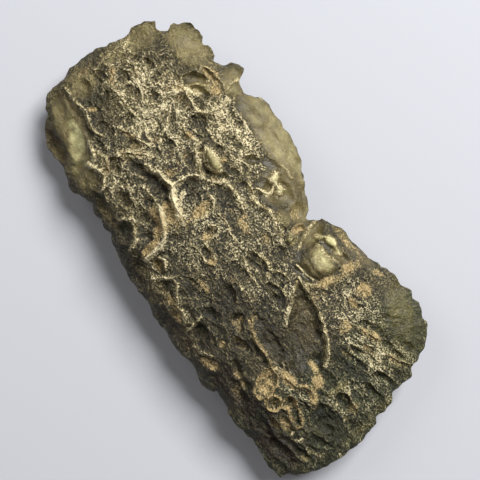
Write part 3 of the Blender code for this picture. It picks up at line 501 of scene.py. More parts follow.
def line_distance(x: Array, y: Array, line: tuple) -> Array:
    """How far each place lies from a line of points.

    Args:
        x: Places along the stone, in millimetres.
        y: Places across it.
        line: The line's points.

    Returns:
        The distance of each place from the nearest part of the line.
    """
    nearest = np.full(len(x), np.inf)
    for (ax, ay), (bx, by) in zip(line, line[1:]):
        along_x, along_y = bx - ax, by - ay
        share = ((x - ax) * along_x + (y - ay) * along_y) / (along_x**2 + along_y**2)
        share = np.clip(share, 0.0, 1.0)
        nearest = np.minimum(nearest, np.hypot(x - ax - share * along_x, y - ay - share * along_y))
    return nearest


def inside(x: Array, y: Array, outline: tuple) -> Array:
    """Which places lie inside a closed outline."""
    odd = np.zeros(len(x), bool)
    for (ax, ay), (bx, by) in zip(outline, outline[1:] + outline[:1]):
        spans = (ay > y) != (by > y)
        if ay != by:
            odd ^= spans & (x < ax + (y - ay) * (bx - ax) / (by - ay))
    return odd


def bowl(near: Array) -> Array:
    """The round cut of a pit: 1 at its centre and 0 from 0.8 of its size outwards."""
    return 1.0 - np.clip(near / 0.8, 0.0, 1.0) ** 2


def oval_reach(x: Array, y: Array, oval: "Hollow | Patch") -> Array:
    """How far out each place lies in an oval: 0 at its centre and 1 at its edge."""
    turn = math.radians(oval.turn)
    along = (x - oval.x) * math.cos(turn) + (y - oval.y) * math.sin(turn)
    across = (y - oval.y) * math.cos(turn) - (x - oval.x) * math.sin(turn)
    return np.hypot(2 * along / oval.length, 2 * across / oval.width)


def painted(x: Array, y: Array, patches: tuple, edge: float = 0.5) -> Array:
    """How strongly soft-edged patches cover each place, where the strongest wins."""
    amount = np.zeros(len(x))
    for patch in patches:
        cover = patch.strength * smooth_step(1.2, edge, oval_reach(x, y, patch))
        amount = np.maximum(amount, cover)
    return amount


def drawn_out(x: Array) -> Array:
    """Places along the stone, drawn out little at its left end and more and more towards the right."""
    ends = np.array([-40.0, -16.0, 6.0, 40.0])
    stretch = np.array([1.5, 1.6, 3.0, 3.2])
    steps = np.diff(ends) / ((stretch[1:] + stretch[:-1]) / 2)
    return np.interp(x, ends, np.concatenate([[0.0], np.cumsum(steps)]))


def grain(points: Array, size: float, seed: float = 0.0) -> Array:
    """A steady random height from about -1 to 1 at each point, in lumps of that size in millimetres."""
    shift = Vector((seed, 1.7 * seed, 2.3 * seed))
    return np.array([noise.noise(Vector(point) / size + shift) for point in points])


def grain_vector(points: Array, size: float, seed: float) -> Array:
    """Three steady random numbers at each point, in lumps of that size in millimetres."""
    shift = Vector((seed, 1.7 * seed, 2.3 * seed))
    return np.array([noise.noise_vector(Vector(point) / size + shift) for point in points])


def cells(points: Array) -> tuple[Array, Array]:
    """Distances to the nearest and the second nearest of the pits' scattered centres.

    Args:
        points: Places, one unit of which is about one pit across.

    Returns:
        The nearest distance, and how much farther off the second one is.
    """
    nearest = np.array([noise.voronoi(Vector(point))[0][:2] for point in points])
    return nearest[:, 0], nearest[:, 1] - nearest[:, 0]


@dataclass
class Studio:
    """The pale floor, the soft light and the camera."""

    floor_side: float = 1.6
    floor_colour: str = "#AFB3C0"
    floor_roughness: float = 0.8
    room_colour: str = "#FFF9EF"
    room_strength: float = 0.13
    lamp_colour: str = "#FFFCF3"
    # Each lamp's name, place in metres, side in metres and power in watts
    lamps: tuple = (("key", (-0.08, 0.31, 0.38), 0.26, 4.6), ("fill", (-0.38, -0.12, 0.33), 0.30, 0.7))
    camera_distance: float = 0.157
    frame_width: float = 0.0667
    sensor_width: float = 36.0
    clip: tuple = (0.01, 10.0)
    turn: float = 56.0
    aim: Vector = field(default_factory=lambda: Vector((0.0, 0.0, 0.005)))

    def build(self) -> None:
        """Makes the floor, the lights and the camera."""
        self.lay_floor()
        self.light_room()
        self.hang_lamps()
        self.set_camera()

    def lay_floor(self) -> None:
        """A plain pale floor under the stone."""
        bpy.ops.object.select_all(action="DESELECT")
        bpy.ops.mesh.primitive_plane_add(size=self.floor_side)
        floor = bpy.context.object
        floor.name = "floor"
        material = bpy.data.materials.new("pale_table")
        material.use_nodes = True
        shader = material.node_tree.nodes["Principled BSDF"]
        shader.inputs["Base Color"].default_value = linear(self.floor_colour)
        shader.inputs["Roughness"].default_value = self.floor_roughness
        floor.data.materials.append(material)

    def light_room(self) -> None:
        """Faint even light from the whole room, and colours shown as they are."""
        world = bpy.data.worlds.new("room")
        world.use_nodes = True
        background = world.node_tree.nodes["Background"]
        background.inputs["Color"].default_value = linear(self.room_colour)
        background.inputs["Strength"].default_value = self.room_strength
        bpy.context.scene.world = world
        bpy.context.scene.view_settings.view_transform = "Standard"

    def hang_lamps(self) -> None:
        """A broad soft key from beyond the stone's upper edge, and a weak fill from its left."""
        for name, place, side, power in self.lamps:
            light = bpy.data.lights.new(name, "AREA")
            light.shape = "SQUARE"
            light.size = side
            light.energy = power
            light.color = linear(self.lamp_colour)[:3]
            lamp = bpy.data.objects.new(name, light)
            lamp.location = place
            lamp.rotation_euler = (self.aim - Vector(place)).to_track_quat("-Z", "Y").to_euler()
            bpy.context.scene.collection.objects.link(lamp)

    def set_camera(self) -> None:
        """A camera straight above the stone, turned so that its long axis runs down to the lower right."""
        camera = bpy.data.cameras.new("camera")
        camera.sensor_width = self.sensor_width
        camera.lens = self.sensor_width * self.camera_distance / self.frame_width
        camera.clip_start, camera.clip_end = self.clip
        eye = bpy.data.objects.new("camera", camera)
        eye.location = self.aim + Vector((0.0, 0.0, self.camera_distance))
        eye.rotation_euler = (0.0, 0.0, math.radians(self.turn))
        bpy.context.scene.collection.objects.link(eye)
        bpy.context.scene.camera = eye


def linear(colour: str) -> tuple[float, float, float, float]:
    """Turns an sRGB hex colour into a linear one with full alpha."""
    parts = [int(colour[start:start + 2], 16) / 255 for start in (1, 3, 5)]
    red, green, blue = (p / 12.92 if p <= 0.04045 else ((p + 0.055) / 1.055) ** 2.4 for p in parts)
    return red, green, blue, 1.0


def add_node(tree: bpy.types.NodeTree, kind: str, settings: dict | None = None,
             links: dict | None = None) -> bpy.types.Node:
    """Adds a node with its settings and its links.

    Args:
        tree: The material's node tree.
        kind: The node's type, less the words ShaderNode that all of them begin with.
        settings: Values by the name of a property or, where there is none, of an input socket.
        links: Output sockets by the name or number of the input that each runs to.

    Returns:
        The new node.
    """
    node = tree.nodes.new("ShaderNode" + kind)
    for name, value in (settings or {}).items():
        if isinstance(name, str) and hasattr(node, name):
            setattr(node, name, value)
        else:
            node.inputs[name].default_value = value
    for name, output in (links or {}).items():
        tree.links.new(output, node.inputs[name])
    return node


@dataclass(frozen=True)
class EtchedGlass:
    """Olive green natural glass: clear inside, etched outside, frosted on its crests, with clay in its pits.

    The glass lets light through where it is thin, its etched skin scatters it in fine grains, and the clay is
    plain tan earth, so that the eye sees a dark, deep green body under a dry, dusty lace. The colours and the
    density were matched to the photographed stone by trial.
    """

    glass: str = "#837D53"
    glass_green: str = "#58713A"
    milk: str = "#C4AC68"
    # milk_pale also paints the light shining through the window of the lower left flank
    milk_pale: str = "#DAD6A2"
    # The stain's brown, which along the lower edge and over the lower right also paints shade
    stain_and_shade: str = "#452E0C"
    # The dark depth seen between the grains, which also paints shade in the skin's fine pits
    depth: str = "#747163"
    frost: str = "#D9CFAF"
    frost_dark: str = "#857D5B"
    clay: str = "#B4A076"
    clay_dark: str = "#7C6948"
    # A usual refractive index for moldavite
    index: float = 1.49
    absorption: str = "#C1B969"
    density: float = 620.0
    # What the lace, the grains and the specks each add to the frost, and what the sum has to pass
    lace_share: float = 0.35
    grain_share: float = 1.5
    speck_share: float = 1.2
    frost_threshold: float = 1.78
    # How far frost, the stain with its painted shade, and clay scatter the light that clear glass lets
    # through
    frost_haze: float = 0.93
    stain_and_shade_haze: float = 0.12
    clay_haze: float = 0.96
    etched_roughness: float = 0.62
    polish_gain: float = 0.22
    haze_roughness: float = 0.3
    # Polished skin keeps a fifth of the etched skin's relief
    polish_flattens: float = 0.8
    relief_height: float = 0.00018

    def material(self) -> bpy.types.Material:
        """Makes the stone's one material.

        Returns:
            The material, which reads the attributes frost, clay, the stain with its painted shade, polish,
            milk, fan, flow and rays.
        """
        material = bpy.data.materials.new("etched_moldavite_glass")
        material.use_nodes = True
        tree = material.node_tree
        tree.nodes.clear()
        marks = {name: add_node(tree, "Attribute", {"attribute_name": name}).outputs["Fac"]
                 for name in ("frost", "clay", "stain_and_shade", "polish", "milk", "fan")}
        skin = self.patterns(tree, marks["fan"])
        frosted, dusted = self.covers(tree, marks, skin)
        etched = add_node(tree, "Math", {"operation": "MULTIPLY_ADD", 1: -self.polish_flattens, 2: 1.0},
                          {0: marks["polish"]}).outputs[0]
        hazy = self.haze(tree, marks, frosted, dusted)
        clear = add_node(tree, "Math", {"operation": "SUBTRACT", 0: 1.0}, {1: hazy}).outputs[0]
        settings = {"operation": "MULTIPLY_ADD", 1: -self.polish_gain, 2: self.etched_roughness}
        rough = add_node(tree, "Math", settings, {0: marks["polish"]}).outputs[0]
        rough = add_node(tree, "Math", {"operation": "MULTIPLY_ADD", 1: self.haze_roughness},
                         {0: hazy, 2: rough}).outputs[0]
        shader = add_node(tree, "BsdfPrincipled", {"IOR": self.index, "Metallic": 0.0}, {
            "Base Color": self.colour(tree, marks, skin, etched, frosted, dusted), "Roughness": rough,
            "Transmission Weight": clear, "Normal": self.relief(tree, skin, etched)})
        volume = add_node(tree, "VolumeAbsorption",
                          {"Color": linear(self.absorption), "Density": self.density})
        add_node(tree, "OutputMaterial", {},
                 {"Surface": shader.outputs[0], "Volume": volume.outputs[0]})
        return material

    def covers(self, tree: bpy.types.NodeTree, marks: dict, skin: tuple) -> tuple:
        """Where frost and clay cover the glass. Frost is thick along the crests and thin in the furrows.

        Args:
            tree: The material's node tree.
            marks: The mesh's attributes by name.
            skin: The lace, the grains and the specks of the etched skin.

        Returns:
            How frosted and how dusted with clay the skin is, from 0 to 1.
        """
        thick = None
        for share, pattern in zip((self.lace_share, self.grain_share, self.speck_share), skin):
            settings = {"operation": "MULTIPLY_ADD", 1: share, 2: -self.frost_threshold}
            links = {0: pattern, 2: thick} if thick else {0: pattern}
            thick = add_node(tree, "Math", settings, links).outputs[0]
        share = add_node(tree, "MapRange", {"From Min": 0.0, "From Max": 0.4, "To Min": 0.24},
                         {"Value": marks["frost"]}).outputs["Result"]
        thick = add_node(tree, "Math", {"operation": "MULTIPLY_ADD"},
                         {0: thick, 1: share, 2: marks["frost"]}).outputs[0]
        frosted = add_node(tree, "MapRange", {"From Min": 0.02, "From Max": 1.2},
                           {"Value": thick}).outputs["Result"]
        settled = add_node(tree, "Math", {"operation": "MULTIPLY_ADD", 1: 0.5},
                           {0: skin[2], 2: marks["clay"]}).outputs[0]
        dusted = add_node(tree, "MapRange", {"From Min": 0.3, "From Max": 1.0, "To Max": self.clay_haze},
                          {"Value": settled}).outputs["Result"]
        return frosted, dusted

    def colour(self, tree: bpy.types.NodeTree, marks: dict, skin: tuple, etched: bpy.types.NodeSocket,
               frosted: bpy.types.NodeSocket, dusted: bpy.types.NodeSocket) -> bpy.types.NodeSocket:
        """The stone's colour: glass, green where it fans, under milk, stain with painted shade, the dark
        depth between grains with painted shade in the fine pits, frost and clay.

        Args:
            tree: The material's node tree.
            marks: The mesh's attributes by name.
            skin: The lace, the grains and the specks of the etched skin.
            etched: How far the skin is etched and not polished.
            frosted: How frosted it is.
            dusted: How dusted with clay it is.

        Returns:
            The colour's socket.
        """
        _, grains, specks = skin
        blend = {"data_type": "RGBA"}
        body = add_node(tree, "Mix", {**blend, 6: linear(self.glass), 7: linear(self.glass_green)},
                        {0: marks["fan"]}).outputs[2]
        pale = add_node(tree, "MapRange", {"From Min": 0.4, "From Max": 0.9},
                        {"Value": marks["milk"]}).outputs["Result"]
        cloud = add_node(tree, "Mix", {**blend, 6: linear(self.milk), 7: linear(self.milk_pale)},
                         {0: pale}).outputs[2]
        body = add_node(tree, "Mix", blend, {0: marks["milk"], 6: body, 7: cloud}).outputs[2]
        # Stain darkens the body, and along the lower edge and over the lower right it is painted shade
        body = add_node(tree, "Mix", {**blend, 7: linear(self.stain_and_shade)},
                        {0: marks["stain_and_shade"], 6: body}).outputs[2]
        # Between its grains the etched glass is clear, and the eye looks into its dark depth. This darkening
        # of the low places between the grains also paints the shade in the skin's fine pits
        depth_and_pit_shade = add_node(tree, "MapRange", {"From Min": 0.60, "From Max": 0.42, "To Max": 0.85},
                        {"Value": grains}).outputs["Result"]
        depth_and_pit_shade = add_node(tree, "Math", {"operation": "MULTIPLY"}, {0: depth_and_pit_shade, 1: etched}).outputs[0]
        body = add_node(tree, "Mix", {**blend, "blend_type": "MULTIPLY", 7: linear(self.depth)},
                        {0: depth_and_pit_shade, 6: body}).outputs[2]
        rime = add_node(tree, "Mix", {**blend, 6: linear(self.frost_dark), 7: linear(self.frost)},
                        {0: frosted}).outputs[2]
        body = add_node(tree, "Mix", blend, {0: frosted, 6: body, 7: rime}).outputs[2]
        earth = add_node(tree, "Mix", {**blend, 6: linear(self.clay_dark), 7: linear(self.clay)},
                         {0: specks}).outputs[2]
        return add_node(tree, "Mix", blend, {0: dusted, 6: body, 7: earth}).outputs[2]

    def haze(self, tree: bpy.types.NodeTree, marks: dict, frosted: bpy.types.NodeSocket,
             dusted: bpy.types.NodeSocket) -> bpy.types.NodeSocket:
        """How much of the light milk, the stain with its painted shade, frost and clay keep from passing
        through the glass.

        Args:
            tree: The material's node tree.
            marks: The mesh's attributes by name.
            frosted: How frosted the skin is.
            dusted: How dusted with clay it is.

        Returns:
            The haze's socket, from 0 where the glass is clear to 1 where nothing passes.
        """
        hazy = add_node(tree, "Math", {"operation": "MULTIPLY_ADD", 1: 0.6, 2: 0.2},
                        {0: marks["milk"]}).outputs[0]
        hazy = add_node(tree, "Math", {"operation": "MULTIPLY_ADD", 2: 0.01},
                        {0: hazy, 1: marks["milk"]}).outputs[0]
        for share, cover in ((self.stain_and_shade_haze, marks["stain_and_shade"]), (self.frost_haze, frosted)):
            hazy = add_node(tree, "Math", {"operation": "MULTIPLY_ADD", 1: share},
                            {0: cover, 2: hazy}).outputs[0]
        return add_node(tree, "Math", {"operation": "MAXIMUM", "use_clamp": True},
                        {0: hazy, 1: dusted}).outputs[0]

    def relief(self, tree: bpy.types.NodeTree, skin: tuple,
               etched: bpy.types.NodeSocket) -> bpy.types.NodeSocket:
        """The skin's finest relief, up to 0.2 mm high where it is etched and faint where it is polished.

        Args:
            tree: The material's node tree.
            skin: The lace, the grains and the specks of the etched skin.
            etched: How far the skin is etched and not polished.

        Returns:
            The normal's socket.
        """
        lace, grains, specks = skin
        relief = add_node(tree, "Math", {"operation": "MULTIPLY_ADD", 1: 0.6},
                          {0: lace, 2: grains}).outputs[0]
        relief = add_node(tree, "Math", {"operation": "MULTIPLY_ADD", 1: 0.35},
                          {0: specks, 2: relief}).outputs[0]
        relief = add_node(tree, "Math", {"operation": "MULTIPLY"}, {0: relief, 1: etched}).outputs[0]
        return add_node(tree, "Bump", {"Strength": 1.0, "Distance": self.relief_height},
                        {"Height": relief}).outputs["Normal"]

    def patterns(self, tree: bpy.types.NodeTree, fan: bpy.types.NodeSocket) -> tuple:
        """The three patterns of the etched skin, which follow the flow of the glass and its rays in the fan.

        Args:
            tree: The material's node tree.
            fan: How far a place belongs to the fan.

        Returns:
            The lace of crests, 0.7 mm wide, the grains on it, 0.25 mm wide, and the specks, 0.2 mm wide.
        """
        lace = {"noise_type": "RIDGED_MULTIFRACTAL", "Scale": 1.35, "Detail": 3.0, "Roughness": 0.5,
                "Lacunarity": 2.1, "Offset": 1.0, "Gain": 2.0}
        grains = {"Scale": 4.4, "Detail": 2.0, "Roughness": 0.65}
        found = []
        for settings in (lace, grains):
            heights = []
            for name in ("flow", "rays"):
                place = add_node(tree, "Attribute", {"attribute_name": name}).outputs["Vector"]
                heights.append(add_node(tree, "TexNoise", settings, {"Vector": place}).outputs["Fac"])
            found.append(add_node(tree, "Mix", {"data_type": "FLOAT"},
                                  {0: fan, 2: heights[0], 3: heights[1]}).outputs[0])
        # The real specks are 0.1 mm and less. They are drawn 0.2 mm wide, the finest that a picture shows
        place = add_node(tree, "TexCoord").outputs["Object"]
        fine = add_node(tree, "TexNoise", {"Scale": 4400.0, "Detail": 1.0, "Roughness": 0.6},
                        {"Vector": place}).outputs["Fac"]
        found.append(add_node(tree, "MapRange", {"From Min": 0.36, "From Max": 0.64},
                              {"Value": fine}).outputs["Result"])
        return tuple(found)


@dataclass
class Moldavite:
    """The stone, made from a plate with its outline whose points move to where the stone's surface lies."""

    grid: float = 0.165
    half_plate: float = 1.3
    shoulder_width: float = 2.2
    shoulder_drop: float = 0.75
    least_thickness: float = 1.3
    most_triangles: int = 197000
    # Without a seed of its own, Blender's vector noise would start from the clock
    noise_seed: int = 5
    belly_seed: int = 7
    belly_hollows: int = 64
    rim_width: float = 1.5
    foot: Patch = Patch(-1.0, -3.8, 18.0, 6.8, 0, 1.0)
    fan_centre: tuple = (12.0, 1.0)
    # The crown is nearer to the eye than the rim, so its places seem this much farther from the middle
    nearness: float = 1.03
    finish: EtchedGlass = field(default_factory=EtchedGlass)

    def build(self) -> bpy.types.Object:
        """Shapes, etches and dresses the stone.

        Returns:
            The finished stone.
        """
        noise.seed_set(self.noise_seed)
        stone = self.plate()
        level, inward = self.shape(stone)
        self.etch(stone, level, inward)
        self.thin_out(stone)
        self.mark(stone)
        stone.data.materials.append(self.finish.material())
        bpy.ops.object.shade_smooth()
        return stone

    def plate(self) -> bpy.types.Object:
        """A thin plate with the stone's outline, divided into an even fine grid."""
        curve = bpy.data.curves.new("outline", "CURVE")
        curve.dimensions = "2D"
        curve.fill_mode = "BOTH"
        curve.extrude = self.half_plate * MM
        spline = curve.splines.new("POLY")
        spline.points.add(len(OUTLINE) - 1)
        for point, (x, y) in zip(spline.points, OUTLINE):
            point.co = (x * MM, y * MM, 0.0, 1.0)
        spline.use_cyclic_u = True
        blank = bpy.data.objects.new("stone", curve)
        bpy.context.scene.collection.objects.link(blank)
        bpy.ops.object.select_all(action="DESELECT")
        blank.select_set(True)
        bpy.context.view_layer.objects.active = blank
        bpy.ops.object.convert(target="MESH")
        bpy.ops.object.mode_set(mode="EDIT")
        bpy.ops.mesh.select_all(action="SELECT")
        bpy.ops.mesh.remove_doubles(threshold=0.01 * MM)
        bpy.ops.object.mode_set(mode="OBJECT")
        stone = bpy.context.object
        remesh = stone.modifiers.new("grid", "REMESH")
        remesh.mode = "VOXEL"
        remesh.voxel_size = self.grid * MM
        bpy.ops.object.modifier_apply(modifier="grid")
        return stone

    def shape(self, stone: bpy.types.Object) -> tuple[Array, Array]:
        """Moves the plate's points to the crown, the belly and the rim, less the hollows, plus the crests.

        Args:
            stone: The plate.

        Returns:
            How far up the wall each point lies from 0 to 1, and how far in from the outline.
        """
        points = read_points(stone)
        x, y = points[:, 0].copy(), points[:, 1].copy()
        level = np.clip(0.5 + points[:, 2] / (2 * self.half_plate), 0.0, 1.0)
        inward = line_distance(x, y, OUTLINE + OUTLINE[:1])
        shoulder = self.shoulder_drop * np.clip(1.0 - inward / self.shoulder_width, 0.0, 1.0) ** 2
        sway = 0.28 * np.stack([grain(points, 1.3, 41.0), grain(points, 1.3, 43.0)])
        top = self.between_spots(x, y, [spot.top for spot in SPOTS]) - shoulder
        bottom = self.between_spots(x, y, [spot.bottom for spot in SPOTS]) + shoulder
        seen_x, seen_y = self.nearness * x + sway[0], self.nearness * y + sway[1]
        top += self.raised(seen_x, seen_y) - self.carved(seen_x, seen_y, HOLLOWS, BASINS)
        bottom += self.carved(x + sway[0], y + sway[1], self.belly(), ())
        middle = (top + bottom) / 2
        half = np.maximum(top - bottom, self.least_thickness) / 2
        outward = 2 * level - 1
        points[:, 2] = middle + half * outward
        ripple = 0.4 * grain(points, 3.4) + 0.2 * grain(points, 1.25)
        points[:, 2] += ripple * outward * np.clip(inward / self.shoulder_width, 0.3, 1.0)
        near_rim = np.clip(1.0 - inward / self.shoulder_width, 0.0, 1.0)
        points[:, 0] += near_rim * 0.4 * grain(points, 1.25, 17.0)
        points[:, 1] += near_rim * 0.4 * grain(points, 1.25, 31.0)
        write_points(stone, points)
        return level, inward

    def between_spots(self, x: Array, y: Array, heights: list[float]) -> Array:
        """Heights that pass through the given height at each spot and run evenly between them."""
        at = np.array([(spot.x, spot.y) for spot in SPOTS])
        count = len(at)
        system = np.ones((count + 1, count + 1))
        system[:count, :count] = np.hypot(*(at[:, None] - at[None]).transpose(2, 0, 1))
        system[count, count] = 0.0
        weights = np.linalg.solve(system, [*heights, 0.0])
        reach = np.hypot(x[:, None] - at[:, 0], y[:, None] - at[:, 1])
        return reach @ weights[:count] + weights[count]

    def carved(self, x: Array, y: Array, hollows: "tuple | list", basins: tuple) -> Array:
        """How deep the hollows lie. Where two meet, the deeper one wins, which leaves a sharp crest."""
        depth = np.zeros(len(x))
        for hollow in hollows:
            depth = np.maximum(depth, hollow.depth * (1.0 - oval_reach(x, y, hollow) ** 2))
        for basin in basins:
            share = np.clip(line_distance(x, y, basin.outline + basin.outline[:1]) / basin.wall, 0.0, 1.0)
            bowl = basin.depth * (1.0 - (1.0 - share) ** 2)
            depth = np.where(inside(x, y, basin.outline), bowl, depth)
        return depth

    def raised(self, x: Array, y: Array) -> Array:
        """How high the crests stand, less how deep the grooves are cut."""
        height = np.zeros(len(x))
        for crest in CRESTS:
            share = np.clip(1.0 - line_distance(x, y, crest.points) / (crest.width / 2), 0.0, None)
            height = np.maximum(height, crest.height * share**1.4)
        for dome in DOMES:
            height = np.maximum(height, dome.strength * np.clip(1.0 - oval_reach(x, y, dome) ** 2, 0.0, None))
        for groove in GROOVES:
            share = np.clip(1.0 - line_distance(x, y, groove.points) / (groove.width / 2), 0.0, None)
            height -= groove.depth * share
        return height

    def belly(self) -> list[Hollow]:
        """The hollows of the underside, which run roughly along the stone and leave the flat spot clear."""
        chance = np.random.default_rng(self.belly_seed)
        found = []
        while len(found) < self.belly_hollows:
            x, y = chance.uniform(-32.0, 32.0), chance.uniform(-15.0, 15.0)
            length = chance.uniform(3.0, 7.6)
            clear_x, clear_y = (self.foot.length + length) / 2, (self.foot.width + length) / 2
            on_foot = ((x - self.foot.x) / clear_x) ** 2 + ((y - self.foot.y) / clear_y) ** 2 < 1.0
            width = length * chance.uniform(0.4, 0.75)
            turn = chance.normal(0.0, 25.0)
            depth = chance.uniform(0.7, 1.8)
            if not on_foot:
                found.append(Hollow(x, y, length, width, turn, depth))
        return found

    def etch(self, stone: bpy.types.Object, level: Array, inward: Array) -> None:
        """Etches the whole surface into small pits with sharp crests between them.

        Args:
            stone: The shaped stone.
            level: How far up the wall each point lies, from 0 to 1.
            inward: How far in from the outline each point lies, in millimetres.
        """
        points, normals = read_points(stone), read_normals(stone)
        crown = smooth_step(0.5, 1.0, level)
        smooth = self.polished(self.nearness * points[:, 0], self.nearness * points[:, 1]) * crown
        warped, rays, fan = self.flow(points, crown)
        depth, network = self.pitted(points[:, 0], points[:, 1], warped, rays, fan)
        keep = 1.0 - smooth
        # Pits grow shallower towards the rim, where the stone is thin
        depth *= (0.10 + 0.90 * keep) * np.clip(0.2 + 0.8 * inward / self.rim_width, 0.2, 1.0)
        points -= normals * depth[:, None]
        points[:, 2] = np.maximum(points[:, 2], 0.0)
        write_points(stone, points)

        for name, values in (("network", network * keep), ("polish", smooth), ("crown", crown), ("fan", fan)):
            add_attribute(stone, name, values)
        add_attribute(stone, "flow", np.stack([drawn_out(warped[:, 0]), warped[:, 1], warped[:, 2]], axis=1))
        add_attribute(stone, "rays", rays)

    def polished(self, x: Array, y: Array) -> Array:
        """How smooth the crown is at each place, from 0 where it is etched to 1 where it is polished."""
        polish = np.zeros(len(x))
        for hollow in HOLLOWS:
            if hollow.floor in (Floor.POLISHED, Floor.MILKY):
                polish = np.maximum(polish, smooth_step(1.0, 0.7, oval_reach(x, y, hollow)))
        for basin in BASINS:
            rim = line_distance(x, y, basin.outline + basin.outline[:1])
            polish = np.maximum(polish, 0.45 * smooth_step(0.1, 0.6, rim) * inside(x, y, basin.outline))
        return np.maximum(painted(x, y, SMOOTH, 0.75), 0.85 * polish)

    def flow(self, points: Array, crown: Array) -> tuple[Array, Array, Array]:
        """How the glass flowed before it set, which the etching follows.

        Args:
            points: The stone's points, in millimetres.
            crown: How far each belongs to the upper face, from 0 to 1.

        Returns:
            The points as the flow has warped them, the same as rays about the fan's centre, and how far each
            point belongs to the fan.
        """
        sway, stir = grain_vector(points, 3.2, 3.0), grain_vector(points, 0.9, 5.0)
        warped = points + 1.05 * sway + 0.38 * stir
        right = points[:, 0] - self.fan_centre[0]
        above = np.maximum(points[:, 1] - self.fan_centre[1], 0.0)
        below = np.minimum(points[:, 1] - self.fan_centre[1], 0.0)
        out = np.hypot(right, above)
        angle = np.arctan2(above, right)
        fan = smooth_step(5.5, 9.0, out) * smooth_step(15.0, 20.0, points[:, 0]) * crown
        rays = np.stack([out / 4.0, 15.0 * angle + below, points[:, 2] / 1.5], axis=1)
        rays += 0.35 * sway + 0.15 * stir
        return warped, rays, fan

    def pitted(self, x: Array, y: Array, warped: Array, rays: Array, fan: Array) -> tuple[Array, Array]:
        """How deep the etched pits are, and the network of crests between them.

        Args:
            x: Places along the stone, in millimetres.
            y: Places across it.
            warped: The places as the flow has warped them.
            rays: The same turned into rays.
            fan: How far each place belongs to the fan.

        Returns:
            The depth at each place in millimetres, and how near it is to a crest, from 0 to 1.
        """
        right_share = smooth_step(-12.0, 4.0, x + 0.6 * y) * (1.0 - fan)
        depth, network = np.zeros(len(x)), np.zeros(len(x))
        for place, pits, share in (
            (warped, ROUND_PITS, (1.0 - right_share) * (1.0 - fan)),
            (warped, LONG_PITS, right_share * (1.0 - 0.5 * smooth_step(18.0, 24.0, x))),
            (rays, RAY_PITS, fan),
            (warped, BROAD_PITS, smooth_step(19.0, 25.0, x)),
        ):
            near, gap = cells(place / pits.size + pits.shift)
            depth += share * pits.depth * bowl(near)
            network += share * smooth_step(0.45, 0.0, gap)
        near, gap = cells(warped / FINE_PITS.size + FINE_PITS.shift)
        depth += FINE_PITS.depth * bowl(near)
        return depth, 0.75 * network + 0.25 * smooth_step(0.6, 0.0, gap)

    def thin_out(self, stone: bpy.types.Object) -> None:
        """Takes triangles away where the surface is even, and keeps them along the crests."""
        stone.data.calc_loop_triangles()
        thin = stone.modifiers.new("thin", "DECIMATE")
        thin.ratio = min(1.0, self.most_triangles / len(stone.data.loop_triangles))
        thin.use_collapse_triangulate = True
        bpy.ops.object.modifier_apply(modifier="thin")

    def mark(self, stone: bpy.types.Object) -> None:
        """Writes where the stone is frosted, where clay lies, where it is milky and where stain and painted
        shade darken it.
        """
        points = read_points(stone)
        x, y = self.nearness * points[:, 0], self.nearness * points[:, 1]
        sharp = convexity(stone, points)
        broad = spread_out(stone, sharp, 6)
        smooth, crown = read_attribute(stone, "polish"), read_attribute(stone, "crown")
        cream, lip, near_crest = self.crest_edges(points, x, y)

        edge = smooth_step(0.02, 0.30, sharp) + 0.8 * smooth_step(0.0, 0.12, broad)
        frost = self.frosting(points, x, y, edge, read_attribute(stone, "network"), crown)
        frost *= 1.0 - 0.75 * smooth
        frost = np.clip(np.maximum(frost, cream * crown), 0.0, 1.5)

        sunk = smooth_step(0.05, -0.15, broad) * (1.0 - smooth)
        clay = self.clay_cover(points, x, y, lip, sunk, crown)

        milk = painted(x, y, MILKY, 0.4) * crown
        milk *= np.clip(1.0 + 0.2 * grain(points, 2.4, 37.0) + 0.25 * grain(points, 0.9, 39.0), 0.6, 1.2)
        milk = np.maximum(milk, 0.06 + 0.2 * grain(points, 6.0, 33.0))
        milk = np.clip(np.maximum(milk, 0.55 * near_crest * crown), 0.0, 1.0)
        # Stain, and painted shade along the lower edge and over the lower right
        stain_and_shade = painted(x, y, STAIN_AND_SHADE) * np.clip(0.8 + 1.2 * grain(points, 1.6, 35.0), 0.0, 1.2)
        stain_and_shade = np.clip(stain_and_shade, 0.0, 1.0)
        for name, values in (("frost", frost), ("clay", clay), ("stain_and_shade", stain_and_shade), ("milk", milk)):
            add_attribute(stone, name, values)
        for name in ("network", "crown"):
            stone.data.attributes.remove(stone.data.attributes[name])

    def crest_edges(self, points: Array, x: Array, y: Array) -> tuple[Array, Array, Array]:
        """How the edges of the placed crests are marked, a little unevenly as on the stone.

        Args:
            points: The stone's points, in millimetres.
            x: Their places along the stone as seen from above.
            y: Their places across it.

        Returns:
            How creamy with frost each point is, how tan with clay, and how near to a crest's edge.
        """
        cream, lip, near_crest = np.zeros(len(x)), np.zeros(len(x)), np.zeros(len(x))
        swayed_x, swayed_y = x + 0.2 * grain(points, 0.8, 51.0), y + 0.2 * grain(points, 0.8, 53.0)
        for crest in CRESTS:
            near = smooth_step(0.45, 0.1, line_distance(swayed_x, swayed_y, crest.points) / crest.width)
            cream, lip = np.maximum(cream, crest.cream * near), np.maximum(lip, crest.clay * near)
            near_crest = np.maximum(near_crest, near)
        cream *= np.clip(1.0 + 0.6 * grain(points, 1.1, 25.0) + 0.4 * grain(points, 0.45, 45.0), 0.4, 1.2)
        return cream, lip, near_crest

